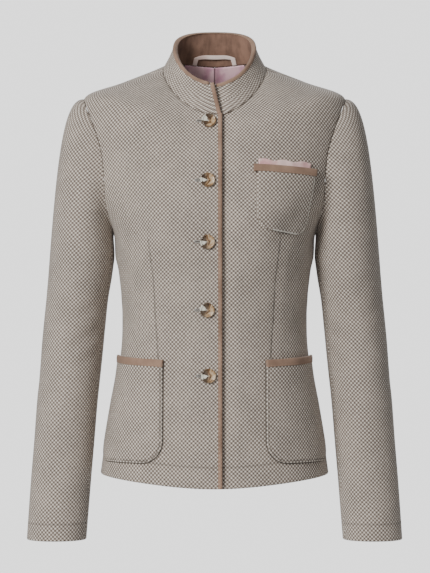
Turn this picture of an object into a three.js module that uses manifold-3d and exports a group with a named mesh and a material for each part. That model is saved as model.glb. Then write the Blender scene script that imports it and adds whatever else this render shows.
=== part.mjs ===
// Wool tweed blazer with a stand collar, kept in the hollow form that it has when it is worn.
// Millimetres. +Z is up, the front looks towards -Y and the wearer's left is +X.
// The origin is the middle of the neck, at the height where the shoulders carry the jacket.

import * as THREE from 'three';
import Module from 'manifold-3d';

const wasm = await Module();
wasm.setup();

// Thicknesses and clearances
const TWEED = 2.0;
const SUEDE = 1.0;
const FACING = 1.5;
const SATIN = 1.0;
const SEAM = 0.3;
const FOLD_ROOM = 0.6; // between a wall and the legs of the binding folded over it
const LYING = 0.9; // under a piece that lies on a curved panel

const DEGREE = Math.PI / 180;

function table(columns, rows) {
  return rows.map((row) => Object.fromEntries(columns.map((name, i) => [name, row[i]])));
}

// Rings round the body, from the hem to the neck seam. Station is the distance up the cloth.
// Each ring has its height at the side, front and back, its half width, its depths and its squareness.
const RING = ['station', 'sideZ', 'frontZ', 'backZ', 'half', 'front', 'back', 'square'];
const BODY_RINGS = table(RING, [
  [0, -581, -596, -594, 165, 126, 124, 2.3], // hem
  [46, -535, -545, -543, 158.5, 122, 121, 2.3], // seat
  [104, -477, -483, -482, 148.5, 116, 114, 2.3], // hip
  [147, -434, -437, -436, 139.5, 111, 104, 2.3], // high hip
  [196, -385, -386, -385, 134, 108, 97, 2.25], // waist
  [249, -332, -332, -330, 135, 110, 98, 2.25], // midriff
  [292, -289, -287, -283, 139, 114, 103, 2.3], // under the bust
  [310, -271, -268.5, -264.5, 142.6, 115.5, 105, 2.32], // below the underarm
  [345, -236, -232, -228, 145, 117, 108, 2.35], // underarm
  [394, -187, -184, -180, 168, 112, 110, 2.4], // chest
  [451, -128, -134, -130, 181, 101, 108, 2.4], // upper chest
  [515, -40, -104, -76, 189, 87, 95, 2.2], // shoulder point
  [545, -17, -86, -28, 133, 79, 80, 2.1], // middle of the shoulder seam
  [575, 2, -68, 12, 75, 72, 60, 2.05], // neck seam
]);
const UNDERARM = 345;
const SHOULDER_POINT = 515;
const NECK_SEAM = 575;

// The stand collar goes on from the neck seam
const COLLAR_RINGS = table(RING, [
  [0, 2, -68, 12, 75, 72, 60, 2.05], // neck seam
  [20, 18, -47, 35, 66, 65, 52, 2.05], // half way up
  [45, 37, -22, 61, 58, 58, 46, 2.1], // top edge
]);
const COLLAR_HEIGHT = 45;

// Fullness over the bust, from the darts
const BUST = { out: 74, up: -222, depth: 9, wide: 44, high: 58 };

// Soft folds, each along a line between two spots. A fold is a trough where its depth is over zero.
const FOLD_FADE = 0.12; // of its length, where a fold begins at a third of its depth
const FOLD = ['angleA', 'stationA', 'angleB', 'stationB', 'width', 'depth'];
const BODY_FOLDS = table(FOLD, [
  [62, 400, 40, 318, 15, 2.2], // drag line from the front armhole to the bust
  [78, 330, 54, 262, 14, 1.8], // side of the bust
  [84, 236, 56, 206, 13, 1.8], // waist, front of the side seam
  [96, 228, 132, 200, 14, 2.2], // waist, behind the side seam
  [118, 384, 142, 316, 24, 1.2], // back armhole to the blade
  [100, 150, 130, 166, 15, -1.8], // fullness over the seat
]);

// Armhole: how far it bites into the front and the back, as an angle round the body
const ARMHOLE_FRONT = 20 * DEGREE;
const ARMHOLE_BACK = 18 * DEGREE;

// Sleeve, down from the underarm: centre, half width and half depth at each height
const SLEEVE = ['down', 'centreX', 'centreY', 'half', 'deep'];
const SLEEVE_RINGS = table(SLEEVE, [
  [275, 192.5, 1, 47, 58], // bicep
  [300, 195.3, 2.8, 46.2, 56.8], // below the bicep
  [332, 199.5, 5, 45, 55], // above the elbow
  [390, 205.3, 7, 45, 52], // elbow
  [434, 209, 3, 44.3, 50], // below the elbow
  [477, 213, -4, 44, 48], // forearm
  [535, 217, -14, 43.6, 45], // lower forearm
  [593, 221.3, -24, 43.4, 43], // wrist
  [674, 226.6, -38, 42.8, 41], // cuff
]);
const BICEP = 275;
const CUFF = 674;
const CAP = { topOut: 28, sideOut: 20, pitOut: 3.2, topDown: 0.7, pitDown: 0.35, forward: 0.15, rise: 0.12 };
const CAP_CROWD = 1.2; // rows of the cap stand closer together near the armhole
const SLEEVE_SEAMS = { front: 160, back: -120, radius: 45 };
const SLEEVE_STEP = 20;
const SLEEVE_FOLDS = table(FOLD, [
  [150, 372, 80, 402, 12, 2.2], // crook of the elbow
  [155, 408, 90, 426, 11, 2.0], // below the crook
  [150, 336, 95, 352, 11, 1.6], // above the crook
  [200, 384, 262, 396, 14, 1.8], // back of the elbow
  [40, 300, 95, 322, 16, 1.4], // front of the upper arm
  [60, 560, 130, 548, 14, 1.2], // front of the wrist
]);

// The right front laps over the left. Its edge stands a little past the centre.
const LAP = { edge: 10, under: -24, out: 2.5, tucked: -3.2, collarTucked: -4 };
const LAP_EASE = { from: -60, to: -18 };
const TUCK_EASE = { from: 34, to: 12 };
const COLLAR_TUCK_EASE = { from: 22, to: 4 };
const COLLAR_END = { base: 8.8, top: -1.6 };
const COLLAR_UNDER = -16;

const BINDING_WIDTH = 7;

// A button's half section, radius and height, from its back to its dished middle
const BUTTON_SECTION = [
  [0, 0], // middle of the back
  [7.6, 0], // edge of the back
  [10.5, 1.8], // widest
  [10.2, 3.2], // shoulder of the rim
  [9.6, 4], // top of the rim
  [7.6, 2.8], // inside of the rim
  [0, 2.5], // dished middle
];
const BUTTON = { hole: 1, holeOut: 2.4, drill: 12, sides: 18 };

// Buttons on the front, from the collar down
const BUTTON_AT = table(['x', 'z'], [
  [-8.2, -78],
  [-9.6, -163],
  [-10, -249],
  [-10, -345],
  [-8, -438],
]);

// Patch pockets. Girth is measured round the body from the centre front.
const PATCH = [
  'near', 'farTop', 'farLow', 'top', 'tilt', 'bottom', 'slope', 'corner', 'lying', 'mouth', 'gape',
];
const [POCKET, BREAST] = table(PATCH, [
  [74, 183, 211, -414, 5, -561, 0, 32, 0.9, 2.1, 1.6], // lower pockets
  [60, 146, 146, -144, -4.5, -235.5, -6, 23, 1.2, 4.3, 1.6], // breast pocket
]);
const MOUTH_SPREAD = 60; // how far below its mouth a pocket begins to stand off
const POCKET_CROWD = 1.25; // rows of a pocket stand closer together near its round corners
const POCKET_BINDING = 9.5;
const INSERT = { near: 62, far: 140, rise: 9, sink: 7, wave: 1.2, waves: 17, lean: 1.5 };

const LOOP = { reach: 33, tab: 6, tabLow: 1.5, bandLow: 10, bandHigh: 16.5, stand: 3, draw: 0.92 };
const LINING = { reach: 38, low: 470, high: 573, pleat: 2, pleatWide: 5 };

const COLOURS = {
  tweed: 0xb0a69b,
  binding: 0xa08473,
  facing: 0x735c4d,
  lining: 0xb48f96,
  satin: 0xe0bcbc,
  tape: 0xd8cabb,
  horn: 0xb59a78,
};

// Curves through a table's column

function columnAt(rows, knot, column, at) {
  const last = rows.length - 1;
  let i = 0;
  while (i < last - 1 && at > rows[i + 1][knot]) i += 1;
  const slope = (k) => {
    const before = rows[Math.max(k - 1, 0)];
    const after = rows[Math.min(k + 1, last)];
    return (after[column] - before[column]) / (after[knot] - before[knot]);
  };
  const span = rows[i + 1][knot] - rows[i][knot];
  const t = (at - rows[i][knot]) / span;
  const start = rows[i][column] * (2 * t ** 3 - 3 * t ** 2 + 1);
  const end = rows[i + 1][column] * (3 * t ** 2 - 2 * t ** 3);
  const leave = slope(i) * span * (t ** 3 - 2 * t ** 2 + t);
  const arrive = slope(i + 1) * span * (t ** 3 - t ** 2);
  return start + end + leave + arrive;
}

function rowAt(rows, knot, at) {
  const row = {};
  for (const column of Object.keys(rows[0])) row[column] = columnAt(rows, knot, column, at);
  return row;
}

const lerp = THREE.MathUtils.lerp;

function ease(value, from, to) {
  const t = THREE.MathUtils.clamp((value - from) / (to - from), 0, 1);
  return t * t * (3 - 2 * t);
}

// A fold's depth at a spot, fading to nothing at its two ends
function foldDepth(folds, angle, along, radius) {
  let depth = 0;
  for (const fold of folds) {
    const a = new THREE.Vector2(fold.angleA * DEGREE * radius, fold.stationA);
    const line = new THREE.Vector2(fold.angleB * DEGREE * radius, fold.stationB).sub(a);
    const spot = new THREE.Vector2(angle * radius, along).sub(a);
    const t = THREE.MathUtils.clamp(spot.dot(line) / line.lengthSq(), 0, 1);
    const away = spot.distanceTo(line.multiplyScalar(t)) / fold.width;
    const fade = Math.sin(Math.PI * lerp(FOLD_FADE, 1 - FOLD_FADE, t));
    depth += fold.depth * Math.exp(-away * away) * fade;
  }
  return depth;
}

// Body and collar surfaces. The angle is 0 at the centre front and 90 degrees at the left side.

function ringPoint(ring, angle) {
  const across = Math.sin(angle);
  const ahead = Math.cos(angle);
  const depth = ahead > 0 ? ring.front : ring.back;
  const n = ring.square;
  const radius = (Math.abs(across / ring.half) ** n + Math.abs(ahead / depth) ** n) ** (-1 / n);
  const tilt = (ring.frontZ - ring.backZ) / 2;
  const dip = (ring.frontZ + ring.backZ) / 2 - ring.sideZ;
  const z = ring.sideZ + ahead * tilt + ahead * ahead * dip;
  return new THREE.Vector3(radius * across, -radius * ahead, z);
}

function bodySkin(angle, station) {
  const point = ringPoint(rowAt(BODY_RINGS, 'station', station), angle);
  const radius = Math.hypot(point.x, point.y);
  if (Math.cos(angle) > 0) {
    const out = (Math.abs(point.x) - BUST.out) / BUST.wide;
    const up = (point.z - BUST.up) / BUST.high;
    point.y -= BUST.depth * Math.exp(-out * out - up * up);
  }
  const turned = Math.abs(Math.atan2(Math.sin(angle), Math.cos(angle)));
  const depth = foldDepth(BODY_FOLDS, turned, station, radius);
  point.x -= depth * Math.sin(angle);
  point.y += depth * Math.cos(angle);
  return point;
}

function collarSkin(angle, station) {
  return ringPoint(rowAt(COLLAR_RINGS, 'station', station), angle);
}

const NUDGE = 0.01;
const MITRE = { body: 22, collar: 12 }; // how far from the neck seam each normal turns to the mitre

function ownNormal(skin, angle, station) {
  const round = skin(angle + NUDGE, station).sub(skin(angle - NUDGE, station));
  const up = skin(angle, station + 1).sub(skin(angle, station - 1));
  return round.cross(up).normalize();
}

// The outward normal, mitred where the collar meets the body
function normalAt(skin, angle, station) {
  const normal = ownNormal(skin, angle, station);
  const share = skin === bodySkin
    ? ease(station, NECK_SEAM - MITRE.body, NECK_SEAM)
    : 1 - ease(station, 0, MITRE.collar);
  if (share === 0) return normal;
  const mitre = ownNormal(bodySkin, angle, NECK_SEAM).add(ownNormal(collarSkin, angle, 0)).normalize();
  return normal.lerp(mitre, share).normalize();
}

// A point moved off a surface along its outward normal
function lifted(skin, angle, station, lift) {
  return skin(angle, station).addScaledVector(normalAt(skin, angle, station), lift);
}

function lapLift(x) {
  return LAP.out * ease(x, LAP_EASE.from, LAP_EASE.to);
}

function tuckLift(x) {
  return LAP.tucked * ease(x, TUCK_EASE.from, TUCK_EASE.to);
}

// The spot on the body at a girth from the centre front and a height, found in a few passes
const SPOT = { radius: 130, step: 150, passes: 14, parts: 24 };

function bodySpot(girth, height) {
  let angle = girth / SPOT.radius;
  let station = height - BODY_RINGS[0].sideZ;
  for (let pass = 0; pass < SPOT.passes; pass += 1) {
    const here = bodySkin(angle, station);
    const rise = bodySkin(angle, station + 1).z - here.z;
    station += (height - here.z) / rise;
    let length = 0;
    let before = bodySkin(0, station);
    for (let i = 1; i <= SPOT.parts; i += 1) {
      const next = bodySkin((angle * i) / SPOT.parts, station);
      length += next.distanceTo(before);
      before = next;
    }
    angle += (girth - length * Math.sign(angle)) / SPOT.step;
  }
  return { angle, station };
}

// Solids

const jacket = new THREE.Group();

function addPiece(name, points, faces, colour) {
  const middle = new THREE.Vector3();
  let volume = 0;
  for (const [a, b, c] of faces) {
    volume += points[a].dot(middle.crossVectors(points[b], points[c]));
  }
  const index = faces.flatMap(([a, b, c]) => (volume > 0 ? [a, b, c] : [a, c, b]));
  const geometry = new THREE.BufferGeometry();
  const flat = points.flatMap((p) => [p.x, p.y, p.z]);
  geometry.setAttribute('position', new THREE.Float32BufferAttribute(flat, 3));
  geometry.setIndex(index);
  addGeometry(name, geometry, colour);
}

function addGeometry(name, geometry, colour) {
  const material = new THREE.MeshStandardMaterial({
    color: colour,
    roughness: colour === COLOURS.horn ? 0.35 : 0.9,
    metalness: 0,
  });
  const mesh = new THREE.Mesh(geometry, material);
  mesh.name = name;
  jacket.add(mesh);
}

// A wall between two grids of points, closed all round its edge
function addWall(name, outer, inner, colour) {
  const rows = outer.length - 1;
  const columns = outer[0].length - 1;
  const points = [...outer.flat(), ...inner.flat()];
  const faces = [];
  const quad = (a, b, c, d) => faces.push([a, b, c], [a, c, d]);
  const near = (r, c) => r * (columns + 1) + c;
  const far = (r, c) => near(r, c) + (rows + 1) * (columns + 1);
  for (let r = 0; r < rows; r += 1) {
    for (let c = 0; c < columns; c += 1) {
      quad(near(r, c), near(r, c + 1), near(r + 1, c + 1), near(r + 1, c));
      quad(far(r + 1, c), far(r + 1, c + 1), far(r, c + 1), far(r, c));
    }
    quad(near(r + 1, 0), far(r + 1, 0), far(r, 0), near(r, 0));
    quad(near(r, columns), far(r, columns), far(r + 1, columns), near(r + 1, columns));
  }
  for (let c = 0; c < columns; c += 1) {
    quad(near(0, c), far(0, c), far(0, c + 1), near(0, c + 1));
    quad(near(rows, c + 1), far(rows, c + 1), far(rows, c), near(rows, c));
  }
  addPiece(name, points, faces, colour);
  return { outer, inner };
}

function grid(rows, columns, at) {
  return Array.from({ length: rows + 1 }, (_, r) =>
    Array.from({ length: columns + 1 }, (_, c) => at(r / rows, c / columns, r, c)));
}

function mirrored(points) {
  return points.map((row) => row.map((p) => new THREE.Vector3(-p.x, p.y, p.z)));
}

// A strip folded over an edge. Each frame has the edge point, the outward normal,
// the direction out past the edge and the thickness that the strip wraps.
function addBinding(name, frames, width, colour) {
  const points = [];
  const faces = [];
  for (const { edge, normal, past, thick } of frames) {
    const inside = -thick - FOLD_ROOM;
    const section = [
      [-width, FOLD_ROOM],
      [-width, FOLD_ROOM + SUEDE],
      [SEAM + SUEDE, FOLD_ROOM + SUEDE],
      [SEAM + SUEDE, inside - SUEDE],
      [-width, inside - SUEDE],
      [-width, inside],
      [SEAM, inside],
      [SEAM, FOLD_ROOM],
    ];
    for (const [u, v] of section) {
      points.push(edge.clone().addScaledVector(past, u).addScaledVector(normal, v));
    }
  }
  const sides = 8;
  for (let k = 0; k + 1 < frames.length; k += 1) {
    for (let i = 0; i < sides; i += 1) {
      const a = k * sides + i;
      const b = k * sides + ((i + 1) % sides);
      faces.push([a, b, b + sides], [a, b + sides, a + sides]);
    }
  }
  const cap = [[0, 1, 7], [1, 2, 7], [2, 3, 6], [2, 6, 7], [3, 4, 6], [4, 5, 6]];
  const end = (frames.length - 1) * sides;
  for (const [a, b, c] of cap) {
    faces.push([a, c, b], [a + end, b + end, c + end]);
  }
  addPiece(name, points, faces, colour);
}

// Fronts and backs

// Rows of a panel in three runs: below the underarm, along the armhole, along the shoulder seam.
// Each has its stations at the side and at the centre.
const RUN = ['rows', 'sideFrom', 'sideTo', 'centreFrom', 'centreTo'];
const PANEL_RUNS = table(RUN, [
  [12, 0, UNDERARM, 0, 338],
  [9, UNDERARM, SHOULDER_POINT, 338, 500],
  [4, SHOULDER_POINT, NECK_SEAM, 500, NECK_SEAM],
]);

// The armhole's edge, from the underarm at 0 to the shoulder point at 1
function armholeSpot(part, bite) {
  const middle = (UNDERARM + SHOULDER_POINT) / 2;
  const reach = (SHOULDER_POINT - UNDERARM) / 2;
  return {
    angle: 90 * DEGREE - bite * Math.sin(Math.PI * part),
    station: middle - reach * Math.cos(Math.PI * part),
  };
}

function panelRows(bite) {
  const rows = [];
  for (const [k, run] of PANEL_RUNS.entries()) {
    for (let r = k === 0 ? 0 : 1; r <= run.rows; r += 1) {
      const part = r / run.rows;
      const row = {
        side: lerp(run.sideFrom, run.sideTo, part),
        centre: lerp(run.centreFrom, run.centreTo, part),
        bite: 0,
      };
      if (run.sideFrom === UNDERARM) {
        row.side = armholeSpot(part, bite).station;
        row.bite = bite * Math.sin(Math.PI * part);
      }
      rows.push(row);
    }
  }
  return rows;
}

// Angle and station of a panel's spots, from the side seam to its centre edge
function panelSpots(bite, columns, sideAngle, centreAngle) {
  return panelRows(bite).map((row) =>
    Array.from({ length: columns + 1 }, (_, c) => {
      const across = c / columns;
      const station = lerp(row.side, row.centre, across);
      const trim = SEAM / 2 / columnAt(BODY_RINGS, 'station', 'half', station);
      const from = sideAngle - Math.sign(bite) * trim - row.bite * (1 - across) ** 2;
      return { angle: lerp(from, centreAngle(station), across), station };
    }));
}

function frontDepth(station) {
  return columnAt(BODY_RINGS, 'station', 'front', station);
}

function addFront(name, side, edgeX, extraLift) {
  const centre = (station) => Math.asin(edgeX / frontDepth(station));
  const spots = panelSpots(ARMHOLE_FRONT, 13, 90 * DEGREE, centre);
  const layer = (depth) => spots.map((row) => row.map(({ angle, station }) => {
    const x = side * bodySkin(angle, station).x;
    return lifted(bodySkin, side * angle, station, extraLift(x) - depth);
  }));
  return addWall(name, layer(0), layer(TWEED), COLOURS.tweed);
}

function addBack(name, side) {
  const centre = (station) => Math.PI - SEAM / 2 / columnAt(BODY_RINGS, 'station', 'back', station);
  const spots = panelSpots(-ARMHOLE_BACK, 10, 90 * DEGREE, centre);
  const layer = (depth) => spots.map((row) => row.map(({ angle, station }) =>
    lifted(bodySkin, side * angle, station, -depth)));
  addWall(name, layer(0), layer(TWEED), COLOURS.tweed);
}

const lapped = addFront('front_right', -1, -LAP.edge, lapLift);
addFront('front_left', 1, LAP.under, tuckLift);
addBack('back_right', -1);
addBack('back_left', 1);

// Sleeves. The angle round a sleeve is 0 outside, 90 at the front and 180 at the body.

function sleeveTube(turn, down) {
  const ring = rowAt(SLEEVE_RINGS, 'down', down);
  const wrapped = ((turn / DEGREE) % 360 + 360) % 360 * DEGREE;
  const shrink = 1 - foldDepth(SLEEVE_FOLDS, wrapped, down, ring.half) / ring.half;
  const x = ring.centreX + shrink * ring.half * Math.cos(turn);
  const y = ring.centreY - shrink * ring.deep * Math.sin(turn);
  return new THREE.Vector3(x, y, -down);
}

function armholePoint(turn) {
  const bite = Math.sin(turn) > 0 ? ARMHOLE_FRONT : -ARMHOLE_BACK;
  const part = 1 - Math.acos(Math.cos(turn)) / Math.PI;
  const { angle, station } = armholeSpot(part, bite);
  return lifted(bodySkin, angle, station, -TWEED / 2);
}

const ARMHOLE_CENTRE = armholePoint(90 * DEGREE).lerp(armholePoint(-90 * DEGREE), 0.5);
const ARMHOLE_INSET = 1.1;

// Down the sleeve from the armhole at 0, over the cap to the bicep at 1, and on to the cuff at 2
function sleeveSkin(turn, along) {
  if (along >= 1) return sleeveTube(turn, lerp(BICEP, CUFF, along - 1));
  const start = armholePoint(turn);
  const inward = ARMHOLE_CENTRE.clone().sub(start).setX(0).normalize();
  start.addScaledVector(inward, ARMHOLE_INSET);
  const end = sleeveTube(turn, BICEP);
  const drop = sleeveTube(turn, BICEP + 1).sub(end);
  const low = (1 - Math.cos(turn)) / 2;
  const out = low < 0.5 ? lerp(CAP.topOut, CAP.sideOut, 2 * low) : lerp(CAP.sideOut, CAP.pitOut, 2 * low - 1);
  const rise = CAP.rise * Math.max(Math.cos(turn), 0);
  const leave = new THREE.Vector3(1, -CAP.forward * Math.sin(turn), rise).multiplyScalar(out);
  const reach = start.distanceTo(end) * lerp(CAP.topDown, CAP.pitDown, low);
  const curve = new THREE.CubicBezierCurve3(
    start,
    start.clone().add(leave),
    end.clone().addScaledVector(drop, -reach),
    end,
  );
  return curve.getPoint(Math.max(along, 0));
}

function sleevePoint(turn, along, lift) {
  const step = 0.002;
  const point = sleeveSkin(turn, along);
  const round = sleeveSkin(turn + NUDGE, along).sub(sleeveSkin(turn - NUDGE, along));
  const down = sleeveSkin(turn, along + step).sub(sleeveSkin(turn, Math.max(along - step, 0)));
  return point.addScaledVector(round.cross(down).normalize(), lift);
}

function addSleevePiece(name, side, from, to) {
  const columns = (to - from) / SLEEVE_STEP;
  const capRows = 7;
  const tubeRows = 11;
  const layer = (depth) => grid(capRows + tubeRows, columns, (v, u, r) => {
    const along = r < capRows ? (r / capRows) ** CAP_CROWD : 1 + (r - capRows) / tubeRows;
    const trim = SEAM / 2 / SLEEVE_SEAMS.radius * (u === 0 ? 1 : u === 1 ? -1 : 0);
    return sleevePoint(lerp(from, to, u) * DEGREE + trim, along, -depth);
  });
  const outer = layer(0);
  const inner = layer(TWEED);
  addWall(name, side > 0 ? outer : mirrored(outer), side > 0 ? inner : mirrored(inner), COLOURS.tweed);
}

for (const [label, side] of [['right', -1], ['left', 1]]) {
  addSleevePiece(`sleeve_upper_${label}`, side, SLEEVE_SEAMS.back, SLEEVE_SEAMS.front);
  addSleevePiece(`sleeve_under_${label}`, side, SLEEVE_SEAMS.front, SLEEVE_SEAMS.back + 360);
}

// Collar and its facing. It starts at the lapped right end and goes round the back to the left.

function collarLift(angle, x) {
  if (Math.cos(angle) < 0) return 0;
  if (angle > -Math.PI) return LAP.out * ease(x, LAP_EASE.from, LAP_EASE.to);
  return LAP.collarTucked * ease(x, COLLAR_TUCK_EASE.from, COLLAR_TUCK_EASE.to);
}

function collarPoint(angle, station, lift) {
  const x = collarSkin(angle, station).x;
  return lifted(collarSkin, angle, station, collarLift(angle, x) + lift);
}

function collarEnds(station) {
  const depth = columnAt(COLLAR_RINGS, 'station', 'front', station);
  const endX = lerp(COLLAR_END.base, COLLAR_END.top, station / COLLAR_HEIGHT);
  return {
    from: Math.asin(endX / depth),
    to: -2 * Math.PI + Math.asin(COLLAR_UNDER / depth),
  };
}

function addCollarLayer(name, low, lift, thick, colour) {
  const layer = (depth) => grid(3, 36, (v, u) => {
    const station = lerp(low, COLLAR_HEIGHT, v);
    const { from, to } = collarEnds(station);
    return collarPoint(lerp(from, to, u), station, lift - depth);
  });
  return addWall(name, layer(0), layer(thick), colour);
}

const collar = addCollarLayer('collar', 0.6, 0, TWEED, COLOURS.tweed);
const facing = addCollarLayer('collar_facing', 1.0, -TWEED - SEAM, FACING, COLOURS.facing);

// Bindings over the front edge and the collar's edges

// One frame for each point of an edge: inner is the far face of the wall, beside is one step in
function edgeFrames(edge, inner, beside) {
  return edge.map((point, k) => {
    const before = edge[Math.max(k - 1, 0)];
    const after = edge[Math.min(k + 1, edge.length - 1)];
    const along = after.clone().sub(before).normalize();
    const past = point.clone().sub(beside[k]);
    past.addScaledVector(along, -past.dot(along)).normalize();
    const wall = point.clone().sub(inner[k]);
    const normal = wall.clone().addScaledVector(past, -wall.dot(past)).normalize();
    return { edge: point, normal, past, thick: normal.dot(wall) };
  });
}

function partWay(frames, k, part) {
  const [a, b] = [frames[k], frames[k + 1]];
  return {
    edge: a.edge.clone().lerp(b.edge, part),
    normal: a.normal.clone().lerp(b.normal, part).normalize(),
    past: a.past.clone().lerp(b.past, part).normalize(),
    thick: lerp(a.thick, b.thick, part),
  };
}

function addFrontBinding() {
  const last = (rows) => rows.map((row) => row[row.length - 1]);
  const beside = lapped.outer.map((row) => row[row.length - 2]);
  const first = (rows) => rows.map((row) => row[0]);
  const body = edgeFrames(last(lapped.outer), last(lapped.inner), beside);
  const neck = edgeFrames(first(collar.outer), first(facing.inner), collar.outer.map((row) => row[1]));
  addBinding('front_binding', [...body, ...neck], BINDING_WIDTH, COLOURS.binding);
}

// The collar's top edge, from beside the front binding round to the lapped end
function addCollarBinding() {
  const top = collar.outer.length - 1;
  const frames = edgeFrames(collar.outer[top], facing.inner[top], collar.outer[top - 1]);
  const step = frames[0].edge.distanceTo(frames[1].edge);
  const start = partWay(frames, 0, (BINDING_WIDTH + 2 * SEAM) / step);
  const covered = COLLAR_END.top + 4 * SUEDE;
  const stop = frames.findLastIndex((frame) => frame.edge.x > covered);
  const part = (frames[stop].edge.x - covered) / (frames[stop].edge.x - frames[stop + 1].edge.x);
  const whole = [start, ...frames.slice(1, stop + 1), partWay(frames, stop, part)];
  addBinding('collar_binding', whole, BINDING_WIDTH, COLOURS.binding);
}

addFrontBinding();
addCollarBinding();

// Patch pockets and their bindings

function pocketInset(pocket, up) {
  if (up >= pocket.corner) return 0;
  return pocket.corner - Math.sqrt(pocket.corner ** 2 - (pocket.corner - up) ** 2);
}

// The mouth stands off the front so that the folded binding clears it
function mouthLift(pocket, across, height, top) {
  const open = ease(height, top - MOUTH_SPREAD, top);
  return pocket.lying + open * (pocket.mouth - pocket.lying + pocket.gape * Math.sin(Math.PI * across));
}

function pocketTop(pocket, across) {
  return pocket.top + pocket.tilt * (across - 0.5);
}

function addPocket(name, pocket, side, rows, columns) {
  const spots = grid(rows, columns, (v, u) => {
    const top = pocketTop(pocket, u);
    const low = pocket.bottom + pocket.slope * (u - 0.5);
    const height = lerp(low, top, v ** POCKET_CROWD);
    const inset = pocketInset(pocket, height - low);
    const far = lerp(pocket.farLow, pocket.farTop, v);
    const girth = lerp(pocket.near + inset, far - inset, u);
    return { ...bodySpot(girth, height), lift: mouthLift(pocket, u, height, top) };
  });
  const layer = (depth) => spots.map((row) => row.map(({ angle, station, lift }) =>
    lifted(bodySkin, side * angle, station, lift + TWEED - depth)));
  return addWall(name, layer(0), layer(TWEED), COLOURS.tweed);
}

function addPocketBinding(name, pocket, nearOver, farOver) {
  const top = pocket.outer.length - 1;
  const frames = edgeFrames(pocket.outer[top], pocket.inner[top], pocket.outer[top - 1]);
  const last = frames.length - 1;
  const step = frames[0].edge.distanceTo(frames[1].edge);
  const whole = [
    partWay(frames, 0, -nearOver / step),
    ...frames.slice(1, last),
    partWay(frames, last - 1, 1 + farOver / step),
  ];
  addBinding(name, whole, POCKET_BINDING, COLOURS.binding);
}

const pocketRight = addPocket('pocket_right', POCKET, -1, 8, 10);
const pocketLeft = addPocket('pocket_left', POCKET, 1, 8, 10);
const breastPocket = addPocket('breast_pocket', BREAST, 1, 7, 8);
addPocketBinding('pocket_binding_right', pocketRight, 1, 1);
addPocketBinding('pocket_binding_left', pocketLeft, 1, 1);
addPocketBinding('breast_binding', breastPocket, 5.5, 2);

function addInsert() {
  const layer = (lift) => grid(3, 12, (v, u) => {
    const girth = lerp(INSERT.near, INSERT.far, u);
    const wave = INSERT.wave * Math.sin(u * INSERT.waves) * v;
    const top = pocketTop(BREAST, u) + INSERT.rise + wave;
    const height = lerp(BREAST.top - INSERT.sink, top, v);
    const lean = INSERT.lean * v ** 4;
    const { angle, station } = bodySpot(girth, height);
    return lifted(bodySkin, angle, station, lift + lean);
  });
  addWall('breast_insert', layer(LYING + SATIN), layer(LYING), COLOURS.satin);
}

addInsert();

// Hanger loop and lining at the back of the neck

function addLoop() {
  const inside = -TWEED - FACING - 2 * SEAM;
  const radius = columnAt(COLLAR_RINGS, 'station', 'back', LOOP.bandLow);
  const layer = (depth) => grid(2, 16, (v, u) => {
    const x = lerp(-LOOP.reach, LOOP.reach, u);
    const tab = Math.abs(x) > LOOP.reach - LOOP.tab;
    const arch = 1 - (x / LOOP.reach) ** 2;
    const low = tab ? LOOP.tabLow : LOOP.bandLow + arch;
    const station = lerp(low, LOOP.bandHigh + arch, v);
    const angle = -Math.PI - Math.asin(x / radius) * LOOP.draw;
    return collarPoint(angle, station, inside - LOOP.stand * arch - depth);
  });
  addWall('hanger_loop', layer(0), layer(SATIN), COLOURS.tape);
}

function addLining() {
  const layer = (depth) => grid(6, 12, (v, u) => {
    const station = lerp(LINING.low, LINING.high, v);
    const angle = Math.PI + lerp(-LINING.reach, LINING.reach, u) * DEGREE;
    const x = bodySkin(angle, station).x;
    const pleat = LINING.pleat * Math.exp(-((x / LINING.pleatWide) ** 2));
    return lifted(bodySkin, angle, station, -TWEED - LYING - pleat - depth);
  });
  addWall('back_lining', layer(0), layer(SATIN), COLOURS.lining);
}

addLoop();
addLining();

// Buttons: turned discs with a raised rim, a dished middle and four sewing holes

function toManifold(geometry) {
  const vertices = Float32Array.from(geometry.getAttribute('position').array);
  const triangles = Uint32Array.from(geometry.getIndex().array);
  const mesh = new wasm.Mesh({ numProp: 3, vertProperties: vertices, triVerts: triangles });
  mesh.merge();
  return new wasm.Manifold(mesh);
}

function buttonSolid() {
  const section = BUTTON_SECTION.map(([r, z]) => new THREE.Vector2(r, z));
  const disc = new THREE.LatheGeometry(section, BUTTON.sides);
  disc.rotateX(Math.PI / 2);
  let button = toManifold(disc);
  for (const [i, j] of [[-1, -1], [-1, 1], [1, -1], [1, 1]]) {
    const hole = new THREE.CylinderGeometry(BUTTON.hole, BUTTON.hole, BUTTON.drill, 5);
    hole.rotateX(Math.PI / 2);
    const out = BUTTON.holeOut / Math.SQRT2;
    hole.translate(i * out, j * out, 0);
    button = button.subtract(toManifold(hole));
  }
  const result = button.getMesh();
  const geometry = new THREE.BufferGeometry();
  geometry.setAttribute('position', new THREE.Float32BufferAttribute(result.vertProperties, 3));
  geometry.setIndex(new THREE.Uint32BufferAttribute(result.triVerts, 1));
  return geometry;
}

function addButtons() {
  const shape = buttonSolid();
  for (const [k, at] of BUTTON_AT.entries()) {
    const { angle, station } = bodySpot(at.x, at.z);
    const lift = lapLift(at.x) + SEAM;
    const seat = lifted(bodySkin, angle, station, lift);
    const normal = normalAt(bodySkin, angle, station);
    const turn = new THREE.Quaternion().setFromUnitVectors(new THREE.Vector3(0, 0, 1), normal);
    const geometry = shape.clone().applyQuaternion(turn).translate(seat.x, seat.y, seat.z);
    addGeometry(`button_${k + 1}`, geometry, COLOURS.horn);
  }
}

addButtons();

export default jacket;
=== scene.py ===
# %% [markdown]
# # A wool tweed blazer
# The solids give the jacket its hollow, worn form. This script dresses them: each piece of cloth is laid on
# the same surface as its solid, but finer, with its creases, its soft edges and its weave.
# Everything is in metres, +Z is up, the front looks towards -Y and the wearer's left is +X.

import math

import bpy
import numpy as np
from mathutils import Matrix, Vector


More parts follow.
